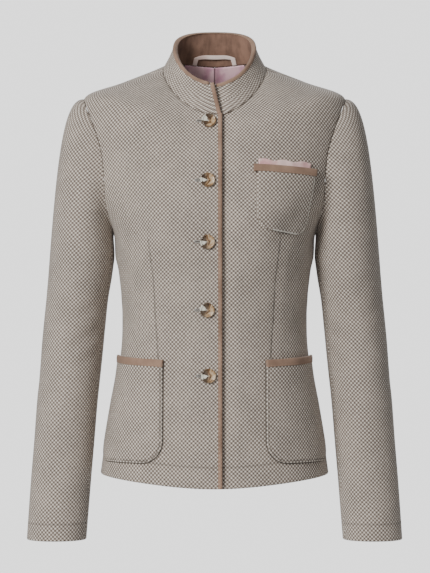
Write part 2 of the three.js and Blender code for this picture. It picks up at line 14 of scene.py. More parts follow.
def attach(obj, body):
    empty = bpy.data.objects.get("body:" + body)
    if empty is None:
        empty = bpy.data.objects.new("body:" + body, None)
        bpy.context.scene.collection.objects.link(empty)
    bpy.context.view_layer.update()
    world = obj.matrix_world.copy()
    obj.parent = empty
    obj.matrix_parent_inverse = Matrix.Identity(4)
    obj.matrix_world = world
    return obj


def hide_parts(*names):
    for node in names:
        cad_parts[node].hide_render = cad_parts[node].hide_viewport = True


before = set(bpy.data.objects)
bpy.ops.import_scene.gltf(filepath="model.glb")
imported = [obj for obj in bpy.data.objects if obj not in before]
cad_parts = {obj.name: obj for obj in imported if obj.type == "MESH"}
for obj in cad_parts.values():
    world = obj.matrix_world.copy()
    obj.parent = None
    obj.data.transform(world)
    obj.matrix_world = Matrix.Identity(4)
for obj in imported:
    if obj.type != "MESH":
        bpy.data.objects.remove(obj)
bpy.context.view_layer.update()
bpy.ops.object.select_all(action="DESELECT")

# %% [markdown]
# ## Camera, floor and light
# The photograph was taken level, from a few metres away, with the whole jacket in the picture. A long lens
# far off keeps the sleeves from looking larger than the body. One photograph pixel is 1.45 mm at the jacket,
# so the lens follows from the picture's height. The floor is small and low, so that the front view shows
# only the pale background, as the photograph does. The backdrop is lit by itself, so it looks bright while
# the room's own light stays low, and the key light can then shape the cloth from the left.

# %% Camera
PHOTO_SIZE = (430, 573)
PIXEL = 0.00145
CAMERA_AWAY = 3.6
CAMERA_UP = -0.312
CENTRE_SHIFT = 0.0006
SENSOR = 36.0


def new_object(name, data):
    """A new object in the scene, at the origin."""
    made = bpy.data.objects.new(name, data)
    bpy.context.scene.collection.objects.link(made)
    return made


camera_data = bpy.data.cameras.new("camera")
camera_data.sensor_width = SENSOR
camera_data.lens = SENSOR * CAMERA_AWAY / (PHOTO_SIZE[1] * PIXEL)
camera = new_object("camera", camera_data)
camera.location = (CENTRE_SHIFT, -CAMERA_AWAY, CAMERA_UP)
camera.rotation_euler = (math.radians(90), 0, 0)
bpy.context.scene.camera = camera
print("lens:", round(camera_data.lens, 1), "mm")


# %% Floor and lights
FLOOR_HEIGHT, FLOOR_RADIUS = -0.83, 0.62
BACKDROP, ROOM_LIGHT = 1.87, 0.30
CHEST = Vector((0, 0, -0.3))
# name, place, size, power and colour
LIGHTS = [
    ("key", (-1.8, -2.5, 0.9), 1.2, 106, (1.0, 0.98, 0.95)),
    ("fill", (0.2, -2.8, -0.3), 1.8, 4, (1.0, 0.98, 0.96)),
    ("back", (0.5, 2.2, 1.2), 1.6, 34, (1.0, 1.0, 1.0)),
]

bpy.ops.mesh.primitive_circle_add(
    vertices=96, radius=FLOOR_RADIUS, fill_type="NGON", location=(0, 0, FLOOR_HEIGHT)
)
floor = bpy.context.object
floor.name = "floor"
floor_material = bpy.data.materials.new("pale_floor")
floor_material.use_nodes = True
floor_material.node_tree.nodes["Principled BSDF"].inputs["Base Color"].default_value = (0.7, 0.7, 0.7, 1)
floor.data.materials.append(floor_material)

world = bpy.data.worlds.new("studio")
world.use_nodes = True
room = world.node_tree
seen = room.nodes.new("ShaderNodeMixShader")
room.links.new(room.nodes.new("ShaderNodeLightPath").outputs["Is Camera Ray"], seen.inputs[0])
glows = [(room.nodes["Background"], ROOM_LIGHT), (room.nodes.new("ShaderNodeBackground"), BACKDROP)]
for socket, (glow, strength) in enumerate(glows, 1):
    glow.inputs["Color"].default_value = (1, 1, 1, 1)
    glow.inputs["Strength"].default_value = strength
    room.links.new(glow.outputs[0], seen.inputs[socket])
room.links.new(seen.outputs[0], room.nodes["World Output"].inputs["Surface"])
bpy.context.scene.world = world

for name, place, size, power, tint in LIGHTS:
    lamp = bpy.data.lights.new(name, "AREA")
    lamp.shape = "SQUARE"
    lamp.size = size
    lamp.energy = power
    lamp.color = tint
    light = new_object(name, lamp)
    light.location = place
    light.rotation_mode = "QUATERNION"
    light.rotation_quaternion = (CHEST - light.location).to_track_quat("-Z", "Y")
print("lights:", len(LIGHTS))

# %% [markdown]
# ## The jacket's measures
# These are the measures that the solids were cut from, in millimetres as on a paper pattern, turned into
# metres once. A ring goes round the body at a distance up the cloth, called its station. A smooth curve
# through each column of the table gives the rings in between.

# %% Rings round the body, collar and sleeve
MM = 0.001


def millimetres(rows, plain=0):
    """A table in metres; its last plain columns hold no lengths."""
    rows = np.array(rows, float)
    rows[:, : rows.shape[1] - plain] *= MM
    return rows


# station, height at the side, front and back, half width, depth in front and behind, squareness
BODY_RINGS = millimetres(
    [
        [0, -581, -596, -594, 165, 126, 124, 2.3],  # hem
        [46, -535, -545, -543, 158.5, 122, 121, 2.3],  # seat
        [104, -477, -483, -482, 148.5, 116, 114, 2.3],  # hip
        [147, -434, -437, -436, 139.5, 111, 104, 2.3],  # high hip
        [196, -385, -386, -385, 134, 108, 97, 2.25],  # waist
        [249, -332, -332, -330, 135, 110, 98, 2.25],  # midriff
        [292, -289, -287, -283, 139, 114, 103, 2.3],  # under the bust
        [310, -271, -268.5, -264.5, 142.6, 115.5, 105, 2.32],  # below the underarm
        [345, -236, -232, -228, 145, 117, 108, 2.35],  # underarm
        [394, -187, -184, -180, 168, 112, 110, 2.4],  # chest
        [451, -128, -134, -130, 181, 101, 108, 2.4],  # upper chest
        [515, -40, -104, -76, 189, 87, 95, 2.2],  # shoulder point
        [545, -17, -86, -28, 133, 79, 80, 2.1],  # middle of the shoulder seam
        [575, 2, -68, 12, 75, 72, 60, 2.05],  # neck seam
    ],
    plain=1,
)
COLLAR_RINGS = millimetres(
    [
        [0, 2, -68, 12, 75, 72, 60, 2.05],  # neck seam
        [20, 18, -47, 35, 66, 65, 52, 2.05],  # half way up
        [45, 37, -22, 61, 58, 58, 46, 2.1],  # top edge
    ],
    plain=1,
)
# distance down from the origin, centre, half width, half depth
SLEEVE_RINGS = millimetres(
    [
        [275, 192.5, 1, 47, 58],  # bicep
        [300, 195.3, 2.8, 46.2, 56.8],  # below the bicep
        [332, 199.5, 5, 45, 55],  # above the elbow
        [390, 205.3, 7, 45, 52],  # elbow
        [434, 209, 3, 44.3, 50],  # below the elbow
        [477, 213, -4, 44, 48],  # forearm
        [535, 217, -14, 43.6, 45],  # lower forearm
        [593, 221.3, -24, 43.4, 43],  # wrist
        [674, 226.6, -38, 42.8, 41],  # cuff
    ]
)
UNDERARM, SHOULDER_POINT, NECK_SEAM, COLLAR_HEIGHT = 0.345, 0.515, 0.575, 0.045
BICEP, CUFF = 0.275, 0.674
TWEED, FACING, SATIN = 0.002, 0.0015, 0.001
SEAM, LYING = 0.0003, 0.0009


def columns_at(rows, at):
    """Every column of a table at the distances at, on smooth curves through its rows."""
    knots = rows[:, 0]
    last = len(rows) - 1
    before = np.maximum(np.arange(last + 1) - 1, 0)
    after = np.minimum(np.arange(last + 1) + 1, last)
    slopes = (rows[after] - rows[before]) / (knots[after] - knots[before])[:, None]
    at = np.asarray(at, float)
    i = np.clip(np.searchsorted(knots, at) - 1, 0, last - 1)
    span = (knots[i + 1] - knots[i])[..., None]
    t = (at - knots[i])[..., None] / span
    start = rows[i] * (2 * t**3 - 3 * t**2 + 1)
    end = rows[i + 1] * (3 * t**2 - 2 * t**3)
    leave = slopes[i] * span * (t**3 - 2 * t**2 + t)
    arrive = slopes[i + 1] * span * (t**3 - t**2)
    return np.moveaxis(start + end + leave + arrive, -1, 0)


print("waist is", round(float(columns_at(BODY_RINGS, 0.196)[4]) * 2000), "mm wide")

# %% [markdown]
# ## Creases
# Cloth that is cut to a body still creases where it bends: from the armhole to the bust, beside the waist,
# in the crook of the elbow. Each crease is a soft trough or ridge along a line between two spots, uneven in
# length and depth, and it fades to nothing at its ends. The first rows are in the solids too, and the finer
# ones after them are only here.

# %% Crease tables and their depth
FOLD_FADE = 0.12


def folds(rows):
    """Creases with angles in radians and lengths in metres: from one spot to another, width, depth."""
    rows = np.array(rows, float)
    rows[:, [0, 2]] = np.radians(rows[:, [0, 2]])
    rows[:, [1, 3, 4, 5]] *= MM
    return rows


BODY_FOLDS = folds(
    [
        [62, 400, 40, 318, 15, 2.2],  # drag line from the front armhole to the bust
        [78, 330, 54, 262, 14, 1.8],  # side of the bust
        [84, 236, 56, 206, 13, 1.8],  # waist, front of the side seam
        [96, 228, 132, 200, 14, 2.2],  # waist, behind the side seam
        [118, 384, 142, 316, 24, 1.2],  # back armhole to the blade
        [100, 150, 130, 166, 15, -1.8],  # fullness over the seat
        [46, 326, 42, 168, 6, 0.9],  # front dart
        [151, 340, 154, 150, 6, 0.8],  # back dart
        [70, 372, 52, 300, 7, 0.9],  # second, finer drag line
        [88, 262, 66, 232, 8, 0.8],  # above the waist, at the side
        [80, 190, 58, 176, 9, -0.8],  # soft ridge over the hip
        [36, 214, 14, 204, 10, 0.6],  # pull towards the waist button
        [30, 128, 12, 140, 11, 0.5],  # pull towards the lowest button
        [34, 452, 16, 474, 12, 0.6],  # under the collar
        [105, 300, 128, 282, 9, 0.9],  # back, under the armhole
        [150, 226, 172, 214, 11, 0.9],  # small of the back
        [148, 206, 168, 200, 10, -0.7],  # ridge under it
        [128, 470, 150, 440, 13, 0.7],  # blade
        [84, 352, 92, 308, 16, -1.3],  # fullness under the arm
        [60, 60, 40, 20, 16, 0.8],  # skirt in front
        [128, 70, 150, 12, 18, 1.0],  # skirt behind
    ]
)
SLEEVE_FOLDS = folds(
    [
        [150, 372, 80, 402, 12, 2.2],  # crook of the elbow
        [155, 408, 90, 426, 11, 2.0],  # below the crook
        [150, 336, 95, 352, 11, 1.6],  # above the crook
        [200, 384, 262, 396, 14, 1.8],  # back of the elbow
        [40, 300, 95, 322, 16, 1.4],  # front of the upper arm
        [60, 560, 130, 548, 14, 1.2],  # front of the wrist
        [20, 330, 84, 362, 10, 0.8],  # long diagonal above the elbow
        [10, 452, 70, 436, 10, 0.9],  # diagonal below the elbow
        [110, 470, 60, 496, 9, -0.6],  # ridge on the forearm
        [300, 350, 345, 372, 12, 0.9],  # outside of the elbow
        [280, 480, 340, 470, 13, 0.8],  # back of the forearm
        [30, 606, 88, 622, 11, 0.8],  # above the cuff
        [215, 590, 290, 604, 12, 0.9],  # back of the wrist
    ]
)


def fold_depth(table, angle, along, radius):
    """How deep the creases are at a spot; radius turns the angle into a distance."""
    depth = np.zeros(np.shape(along))
    for angle_a, along_a, angle_b, along_b, width, deepest in table:
        line = np.stack([(angle_b - angle_a) * radius, np.full_like(radius, along_b - along_a)])
        spot = np.stack([(angle - angle_a) * radius, along - along_a])
        t = np.clip((spot * line).sum(0) / (line**2).sum(0), 0, 1)
        away = np.linalg.norm(spot - t * line, axis=0) / width
        depth += deepest * np.exp(-(away**2)) * np.sin(np.pi * (FOLD_FADE + (1 - 2 * FOLD_FADE) * t))
    return depth


print("creases:", len(BODY_FOLDS), "on the body,", len(SLEEVE_FOLDS), "on each sleeve")

# %% [markdown]
# ## The surfaces that the cloth follows
# The body, the collar and the sleeve are three surfaces. A spot on the body is an angle round it, 0 at the
# centre front and positive to the wearer's left, and a station up the cloth. A point is then moved off the
# surface along the outward normal, so that a pocket, a button or the inside of the cloth follows the
# same form. Where the collar stands on the body, the two normals are blended, like a mitre.

# %% Body and collar
BUST_OUT, BUST_UP, BUST_DEPTH, BUST_WIDE, BUST_HIGH = 0.074, -0.222, 0.009, 0.044, 0.058
NUDGE_ANGLE, NUDGE_STATION = 0.01, 0.001
MITRE_BODY, MITRE_COLLAR = 0.022, 0.012


def ease(value, start, end):
    t = np.clip((value - start) / (end - start), 0, 1)
    return t * t * (3 - 2 * t)


def lerp(start, end, t):
    return start + (end - start) * t


def unit(vectors):
    return vectors / np.linalg.norm(vectors, axis=-1, keepdims=True)


def together(*arrays):
    """Arrays of numbers, spread out to one shape."""
    return (np.array(a, float) for a in np.broadcast_arrays(*arrays))


def run_lengths(points, axis=0):
    """The distance of each point along a run, 0 at its start."""
    steps = np.linalg.norm(np.diff(points, axis=axis), axis=-1)
    return np.insert(np.cumsum(steps, axis), 0, 0, axis)


def whole_length(points):
    return np.linalg.norm(np.diff(points, axis=-2), axis=-1).sum(-1)


def ring_point(rings, angle, station):
    angle, station = np.broadcast_arrays(angle, station)
    _, side_z, front_z, back_z, half, front, back, square = columns_at(rings, station)
    across, ahead = np.sin(angle), np.cos(angle)
    depth = np.where(ahead > 0, front, back)
    radius = (np.abs(across / half) ** square + np.abs(ahead / depth) ** square) ** (-1 / square)
    dip = (front_z + back_z) / 2 - side_z
    z = side_z + ahead * (front_z - back_z) / 2 + ahead**2 * dip
    return np.stack([radius * across, -radius * ahead, z], -1)


def body_skin(angle, station):
    angle, station = np.broadcast_arrays(angle, station)
    point = ring_point(BODY_RINGS, angle, station)
    radius = np.hypot(point[..., 0], point[..., 1])
    out = (np.abs(point[..., 0]) - BUST_OUT) / BUST_WIDE
    up = (point[..., 2] - BUST_UP) / BUST_HIGH
    point[..., 1] -= np.where(np.cos(angle) > 0, BUST_DEPTH * np.exp(-(out**2) - up**2), 0)
    turned = np.abs(np.arctan2(np.sin(angle), np.cos(angle)))
    depth = fold_depth(BODY_FOLDS, turned, station, radius)
    point[..., 0] -= depth * np.sin(angle)
    point[..., 1] += depth * np.cos(angle)
    return point


def collar_skin(angle, station):
    return ring_point(COLLAR_RINGS, angle, station)


def own_normal(skin, angle, station):
    round_it = skin(angle + NUDGE_ANGLE, station) - skin(angle - NUDGE_ANGLE, station)
    up = skin(angle, station + NUDGE_STATION) - skin(angle, station - NUDGE_STATION)
    return unit(np.cross(round_it, up))


def normal_at(skin, angle, station):
    """The outward normal, turning to the mitre near the neck seam."""
    if skin is body_skin:
        share = ease(station, NECK_SEAM - MITRE_BODY, NECK_SEAM)
    else:
        share = 1 - ease(station, 0, MITRE_COLLAR)
    neck = np.full_like(angle, NECK_SEAM)
    mitre = unit(own_normal(body_skin, angle, neck) + own_normal(collar_skin, angle, neck * 0))
    return unit(lerp(own_normal(skin, angle, station), mitre, share[..., None]))


def lifted(skin, angle, station, lift):
    """Points of a surface moved outwards by lift."""
    angle, station = together(angle, station)
    lift = np.broadcast_to(lift, angle.shape)
    return skin(angle, station) + normal_at(skin, angle, station) * lift[..., None]


# %% Lap, and spots measured on the cloth
LAP_OUT, LAP_TUCKED, COLLAR_TUCKED = 0.0025, -0.0032, -0.004
# x where each lift begins, and where it is full
LAP_FADE, TUCK_FADE, COLLAR_FADE = (-0.060, -0.018), (0.034, 0.012), (0.022, 0.004)
SPOT_RADIUS, SPOT_STEP, SPOT_PASSES = 0.130, 0.150, 12
GIRTH_PARTS = np.linspace(0, 1, 25)


def lap_lift(x):
    """The right front stands off near the centre, where it laps over the left."""
    return LAP_OUT * ease(x, *LAP_FADE)


def tuck_lift(x):
    """The left front is tucked under it."""
    return LAP_TUCKED * ease(x, *TUCK_FADE)


def girth_to(angle, station):
    """The distance round the body from the centre front."""
    return whole_length(body_skin(angle[..., None] * GIRTH_PARTS, station[..., None])) * np.sign(angle)


def body_spot(girth, height):
    """The angle and station of spots with a girth from the centre front and a height."""
    girth, height = together(girth, height)
    angle = girth / SPOT_RADIUS
    station = height - BODY_RINGS[0, 1]
    for _ in range(SPOT_PASSES):
        here = body_skin(angle, station)[..., 2]
        rise = (body_skin(angle, station + NUDGE_STATION)[..., 2] - here) / NUDGE_STATION
        station = station + (height - here) / rise
        angle = angle + (girth - girth_to(angle, station)) / SPOT_STEP
    return angle, station


def rise_to(angle, station):
    """The distance up the cloth from the hem, at one angle."""
    return whole_length(body_skin(angle[..., None], station[..., None] * GIRTH_PARTS))


chest = lifted(body_skin, np.array([0.0]), np.array([0.39]), 0)[0]
print("centre front of the chest:", [round(float(v), 3) for v in chest])

# %% [markdown]
# ## Small tools for shader nodes
# A material is a tree of nodes. Two short helpers add a node with its values or links in one line, so that
# each recipe below reads as a list of steps. Effects that several materials share are node groups.

# %% Node helpers
def add_node(tree, kind, sockets=None, **settings):
    """A node; sockets maps an input to a value or to another node's output."""
    made = tree.nodes.new(kind)
    for name, value in settings.items():
        setattr(made, name, value)
    for socket, value in (sockets or {}).items():
        if isinstance(value, bpy.types.NodeSocket):
            tree.links.new(value, made.inputs[socket])
        else:
            made.inputs[socket].default_value = value
    return made


def maths(tree, operation, *values):
    return add_node(tree, "ShaderNodeMath", dict(enumerate(values)), operation=operation).outputs[0]


def times(tree, first, second):
    return maths(tree, "MULTIPLY", first, second)


def blend(tree, share, first, second):
    """first where share is 0 and second where it is 1, as a colour."""
    made = add_node(tree, "ShaderNodeMix", {0: share, 6: first, 7: second}, data_type="RGBA")
    return made.outputs[2]


def band(tree, value, low, high, start=0.0, end=1.0):
    """start below low and end above high, smooth in between."""
    sockets = {0: value, 1: low, 2: high, 3: start, 4: end}
    return add_node(tree, "ShaderNodeMapRange", sockets, interpolation_type="SMOOTHSTEP").outputs[0]


def noise(tree, vector, scale, detail=2.0):
    made = add_node(tree, "ShaderNodeTexNoise", {"Vector": vector, "Scale": scale, "Detail": detail})
    return made.outputs["Fac"]


def new_group(name, **inputs):
    """An empty shader group, with the outputs of its input node; it will give a colour and a height."""
    tree = bpy.data.node_groups.new(name, "ShaderNodeTree")
    for socket, value in inputs.items():
        kind = {1: "Float", 3: "Vector", 4: "Color"}[np.size(value)]
        tree.interface.new_socket(socket, socket_type="NodeSocket" + kind).default_value = value
    for socket, kind in (("Color", "Color"), ("Height", "Float")):
        tree.interface.new_socket(socket, in_out="OUTPUT", socket_type="NodeSocket" + kind)
    return tree, tree.nodes.new("NodeGroupInput").outputs


def group_gives(tree, shown, height):
    add_node(tree, "NodeGroupOutput", {"Color": shown, "Height": height})


def colour(red, green, blue):
    """A colour as seen on a screen, 0 to 255, turned into the light that it stands for."""
    return (*(((c / 255 + 0.055) / 1.055) ** 2.4 for c in (red, green, blue)), 1.0)


def new_material(name, group, values, bump, roughness, **shader):
    """A material whose colour and bump come from a group; other values sit on the shader itself."""
    material = bpy.data.materials.new(name)
    material.use_nodes = True
    tree = material.node_tree
    principled = tree.nodes["Principled BSDF"]
    for socket, value in {"Roughness": roughness, **shader}.items():
        principled.inputs[socket.replace("_", " ")].default_value = value
    effect = add_node(tree, "ShaderNodeGroup", node_tree=group)
    for socket, value in values.items():
        effect.inputs[socket].default_value = value
    height = {"Strength": bump[0], "Distance": bump[1], "Height": effect.outputs["Height"]}
    raised = add_node(tree, "ShaderNodeBump", height)
    tree.links.new(effect.outputs["Color"], principled.inputs["Base Color"])
    tree.links.new(raised.outputs["Normal"], principled.inputs["Normal"])
    return material


# %% [markdown]
# ## Tweed
# The cloth is a thick wool weave with a cream fleck. The flecks stand in rows about 3 mm apart, each row
# shifted by half a step, like the spots on a five of a die. The product of two cosines has its peaks in just
# that order, so one formula draws the whole repeat, and noise makes the yarn uneven. The pattern reads the
# cloth's own flat map, in metres, so it bends with each panel as woven cloth does. A seam or a dart is a
# thin dark line along an attribute that holds the distance to it. The same group paints light and shade:
# a thin shadow on the fronts just outside each pocket, and a pale highlight along the pockets' rims.

# %% The weave as a node group
FLECK_STEP, FLECK_ROWS = 0.0056, 0.0057

CREAM, GROUND, SHADE = colour(255, 250, 239), colour(184, 170, 158), colour(66, 59, 54)

yarns = {"Cream": CREAM, "Ground": GROUND, "Shade": SHADE}
weave, given = new_group("tweed_weave_and_painted_pocket_light", **yarns, Hem=0.03, Stitch=0.0, Rim=0.0)
flat_map = add_node(weave, "ShaderNodeUVMap", uv_map="cloth").outputs[0]
wander = flat_map
for scale, sway in ((45.0, 0.0016), (380.0, 0.0011)):
    cloud = add_node(weave, "ShaderNodeTexNoise", {"Vector": flat_map, "Scale": scale}).outputs["Color"]
    pushed = {0: cloud, 1: (sway, sway, 0), 2: wander}
    wander = add_node(weave, "ShaderNodeVectorMath", pushed, operation="MULTIPLY_ADD").outputs[0]
along_weft, along_warp, _ = add_node(weave, "ShaderNodeSeparateXYZ", {0: wander}).outputs
across_repeat = maths(weave, "COSINE", times(weave, along_weft, 2 * math.pi / FLECK_STEP))
up_repeat = maths(weave, "COSINE", times(weave, along_warp, 2 * math.pi / FLECK_ROWS))
repeat = times(weave, across_repeat, up_repeat)
uneven = band(weave, noise(weave, flat_map, 240.0), 0.3, 0.62, 0.7, 1.0)
fleck = times(weave, band(weave, repeat, 0.3, 0.85), uneven)
hollow = band(weave, repeat, 0.1, -0.7)
mottle = noise(weave, flat_map, 24.0, 3.0)
fibre = noise(weave, flat_map, 1500.0, 2.0)


def away_from(tree, attribute, offset=0.0):
    """Distance to a line, from an attribute that holds one more than it; a piece without it has no line."""
    stored = add_node(tree, "ShaderNodeAttribute", attribute_name=attribute).outputs["Fac"]
    return maths(tree, "ABSOLUTE", maths(tree, "SUBTRACT", maths(tree, "SUBTRACT", stored, 1.0), offset))


seam_line = band(weave, away_from(weave, "line", given["Stitch"]), 0.0003, 0.0019, 1.0, 0.0)
# painted shadow: a thin dark band on the fronts just outside each pocket's outline
painted_pocket_shadow = band(weave, away_from(weave, "pocket"), 0.0004, 0.0026, 1.0, 0.0)
# painted highlight: a pale line just inside a pocket's rim, where the rolled edge catches the light
painted_rim_highlight = band(weave, away_from(weave, "line", 0.0006), 0.0006, 0.0016, given["Rim"], 0.0)
hem_line = band(weave, away_from(weave, "hem", given["Hem"]), 0.0003, 0.0022, 1.0, 0.0)
breaks = band(weave, noise(weave, flat_map, 130.0), 0.35, 0.6, 0.2, 0.6)
weave_with_painted_light = given["Ground"]
# each step lays one colour over what is there already: yarn, thread, the painted shadow round the
# pockets and the painted highlight on their rims
for share, laid_colour in [
    (band(weave, mottle, 0.3, 0.7, 0.0, 0.22), "Shade"),
    (times(weave, fibre, 0.3), "Shade"),
    (times(weave, hollow, 0.8), "Shade"),
    (fleck, "Cream"),
    (times(weave, seam_line, breaks), "Shade"),
    (times(weave, hem_line, 0.3), "Shade"),
    (times(weave, painted_pocket_shadow, 0.7), "Shade"),
    (painted_rim_highlight, "Cream"),
]:
    weave_with_painted_light = blend(weave, share, weave_with_painted_light, given[laid_colour])
relief = maths(weave, "MULTIPLY_ADD", fibre, 0.35, maths(weave, "MULTIPLY_ADD", hollow, -0.3, fleck))
relief = maths(weave, "MULTIPLY_ADD", seam_line, -1.6, maths(weave, "MULTIPLY_ADD", hem_line, -0.8, relief))
group_gives(weave, weave_with_painted_light, relief)
print("tweed_weave_and_painted_pocket_light has", len(weave.nodes), "nodes")


# %% Tweed for the body, the sleeves and the small pieces
def tweed(name, **lines):
    return new_material(name, weave, lines, (0.55, 0.0005), 0.92, Sheen_Weight=0.12, Sheen_Roughness=0.5)


TWEED_BODY = tweed("tweed_body", Hem=0.030)
TWEED_SLEEVE = tweed("tweed_sleeve", Hem=0.024)
# the last value sets the painted highlight along a pocket's rim; it is strongest on the breast pocket
TWEED_SMALL = tweed("tweed_small", Stitch=0.0030, Rim=0.08)
TWEED_BREAST = tweed("tweed_breast", Stitch=0.0, Rim=0.85)

# %% [markdown]
# ## Suede, satin, tape and horn
# The bindings and the inside of the collar look like matt suede: a soft nap with broad, faint clouds. The
# lining and the strip over the breast pocket are smooth satin, so they have a low roughness and long fine
# threads; a dark line of painted shade runs down the crease of the lining's pleat. The buttons are polished
# horn: brown streaks in a warm, pale ground, with a painted highlight on each, a pale wedge with dark edges.

# %% Suede
def pair(light, deep, **more):
    """Values for a group that mixes a light colour and a deep one."""
    return {"Light": colour(*light), "Deep": colour(*deep), **more}


nap, given = new_group("suede_nap", **pair((168, 138, 118), (118, 92, 76), Streak=0.0))
place = add_node(nap, "ShaderNodeTexCoord").outputs["Object"]
clouds = noise(nap, place, 34.0, 3.0)
pile = noise(nap, place, 520.0, 3.0)
upright = add_node(nap, "ShaderNodeMapping", {"Vector": place, "Scale": (160, 160, 14)}).outputs[0]
streaks = noise(nap, upright, 1.0, 2.0)
share = maths(nap, "MULTIPLY_ADD", band(nap, clouds, 0.32, 0.68), 0.55, times(nap, pile, 0.3))
share = maths(nap, "MULTIPLY_ADD", band(nap, streaks, 0.42, 0.66), given["Streak"], share)
nap_colour = blend(nap, share, given["Light"], given["Deep"])
group_gives(nap, nap_colour, maths(nap, "MULTIPLY_ADD", clouds, 0.4, pile))
SUEDE_BINDING = new_material("suede_binding", nap, {}, (0.35, 0.0005), 0.85, Sheen_Weight=0.2)
FACING_TONES = pair((154, 120, 102), (106, 80, 67), Streak=0.3)
SUEDE_FACING = new_material("suede_facing", nap, FACING_TONES, (0.35, 0.0006), 0.88, Sheen_Weight=0.15)

# %% Satin and tape
RIB_STEP = 0.0011

threads, given = new_group("satin_threads_and_pleat_shade", **pair((252, 224, 218), (214, 154, 160), Clouds=34.0, Rib=0.0))
flat_map = add_node(threads, "ShaderNodeUVMap", uv_map="cloth").outputs[0]
fine = add_node(threads, "ShaderNodeMapping", {"Vector": flat_map, "Scale": (1600, 180, 1)}).outputs[0]
fine = noise(threads, fine, 1.0, 2.0)
cloudy = noise(threads, flat_map, given["Clouds"], 3.0)
_, up, _ = add_node(threads, "ShaderNodeSeparateXYZ", {0: flat_map}).outputs
rib = maths(threads, "COSINE", times(threads, up, 2 * math.pi / RIB_STEP))
share = maths(threads, "MULTIPLY_ADD", band(threads, cloudy, 0.4, 0.66), 0.75, times(threads, fine, 0.2))
share = maths(threads, "MULTIPLY_ADD", rib, given["Rib"], share)
# painted shade: a dark line down the crease of the lining's pleat, where the "line" attribute is near zero
painted_pleat_shade = band(threads, away_from(threads, "line"), 0.0002, 0.0017, 1.0, 0.0)
satin_colour = blend(threads, share, given["Light"], given["Deep"])
satin_colour = blend(threads, times(threads, painted_pleat_shade, 0.85), satin_colour, colour(60, 34, 42))
group_gives(threads, satin_colour, maths(threads, "MULTIPLY_ADD", painted_pleat_shade, -2.0, fine))
SATIN_STRIP = new_material("satin_strip", threads, {}, (0.25, 0.0003), 0.4, Sheen_Weight=0.3)
LINING_TONES = pair((255, 214, 222), (212, 150, 178), Clouds=60.0)
LINING_SATIN = new_material("lining_satin", threads, LINING_TONES, (0.25, 0.0003), 0.42, Sheen_Weight=0.3)
TAPE_TONES = pair((246, 230, 222), (220, 192, 184), Rib=0.25)
TAPE = new_material("woven_tape", threads, TAPE_TONES, (0.3, 0.0003), 0.7)

# %% Thread and horn
thread_and_slit_shade, given = new_group("spun_thread_and_slit_shade", **pair((178, 150, 130), (128, 100, 82)))
place = add_node(thread_and_slit_shade, "ShaderNodeTexCoord").outputs["Object"]
waves = {"Vector": place, "Scale": 260.0, "Distortion": 3.0}
twist = add_node(thread_and_slit_shade, "ShaderNodeTexWave", waves, bands_direction="DIAGONAL").outputs["Fac"]
group_gives(thread_and_slit_shade, blend(thread_and_slit_shade, twist, given["Deep"], given["Light"]), twist)
THREAD_TAN = new_material("thread_tan", thread_and_slit_shade, {}, (0.4, 0.0002), 0.7)
# the second tones are near black: painted shade in the buttonhole slit's opening
GREY_TONES, SLIT_SHADE_TONES = pair((176, 172, 166), (120, 116, 112)), pair((60, 56, 52), (30, 28, 26))
THREAD_GREY = new_material("thread_grey", thread_and_slit_shade, GREY_TONES, (0.5, 0.0003), 0.75)
SLIT_SHADE = new_material("painted_slit_shade", thread_and_slit_shade, SLIT_SHADE_TONES, (0.4, 0.0002), 0.85)

horn, given = new_group("horn_streaks_and_glint", Vector=(0.0, 0.0, 0.0), Wedge=0.08)
centred = given["Vector"]
grain = add_node(horn, "ShaderNodeMapping", {"Vector": centred, "Scale": (85, 85, 85)}).outputs[0]
streaky = {"Vector": grain, "Scale": 1.0, "Detail": 3.0, "Distortion": 1.4}
grain = add_node(horn, "ShaderNodeTexNoise", streaky).outputs["Fac"]
ramp = add_node(horn, "ShaderNodeValToRGB", {0: grain})
stops = ramp.color_ramp.elements
for element, spot, tone in zip(stops, (0.30, 0.62), (colour(44, 28, 20), colour(204, 184, 156))):
    element.position = spot
    element.color = tone
for spot, tone in ((0.40, (112, 82, 52)), (0.48, (178, 146, 108)), (0.72, (220, 208, 188))):
    stops.new(spot).color = colour(*tone)
# painted highlight: the radial gradient places a pale wedge with dark edges on one side of each button
turn = add_node(horn, "ShaderNodeTexGradient", {"Vector": centred}, gradient_type="RADIAL").outputs["Fac"]
wobble = maths(horn, "MULTIPLY_ADD", noise(horn, centred, 260.0), 0.1, turn)
from_glint = maths(horn, "ABSOLUTE", maths(horn, "SUBTRACT", wobble, 0.55))
narrow_glint, wide_glint, glint_rim_end = (times(horn, given["Wedge"], share) for share in (0.7, 2.2, 4.2))
# the painted highlight's pale wedge, and the dark edge round it
painted_glint = band(horn, from_glint, narrow_glint, given["Wedge"], 1.0, 0.0)
edge = band(horn, from_glint, glint_rim_end, wide_glint)
horn_and_glint = blend(horn, times(horn, edge, 0.85), ramp.outputs["Color"], colour(40, 24, 16))
horn_and_glint = blend(horn, painted_glint, horn_and_glint, colour(232, 230, 216))
group_gives(horn, horn_and_glint, grain)


def horn_for(name, centre, turned, glint_width):
    """Horn for one button: its streaks and its painted highlight are centred on it and turned about it, so
    no two are alike, and the highlight faces the key light on the left.
    """
    coat = {"Coat_Weight": 0.5, "Coat_Roughness": 0.1}
    material = new_material(name, horn, {"Wedge": glint_width}, (0.06, 0.0003), 0.24, **coat)
    tree = material.node_tree
    where = add_node(tree, "ShaderNodeTexCoord").outputs["Object"]
    moved = add_node(tree, "ShaderNodeMapping", {"Vector": where, "Location": [-v for v in centre]})
    laid = {"Vector": moved.outputs[0], "Rotation": (math.radians(-90), 0, turned)}
    effect = next(n for n in tree.nodes if n.type == "GROUP")
    tree.links.new(add_node(tree, "ShaderNodeMapping", laid).outputs[0], effect.inputs["Vector"])
    return material


print("materials:", len(bpy.data.materials))

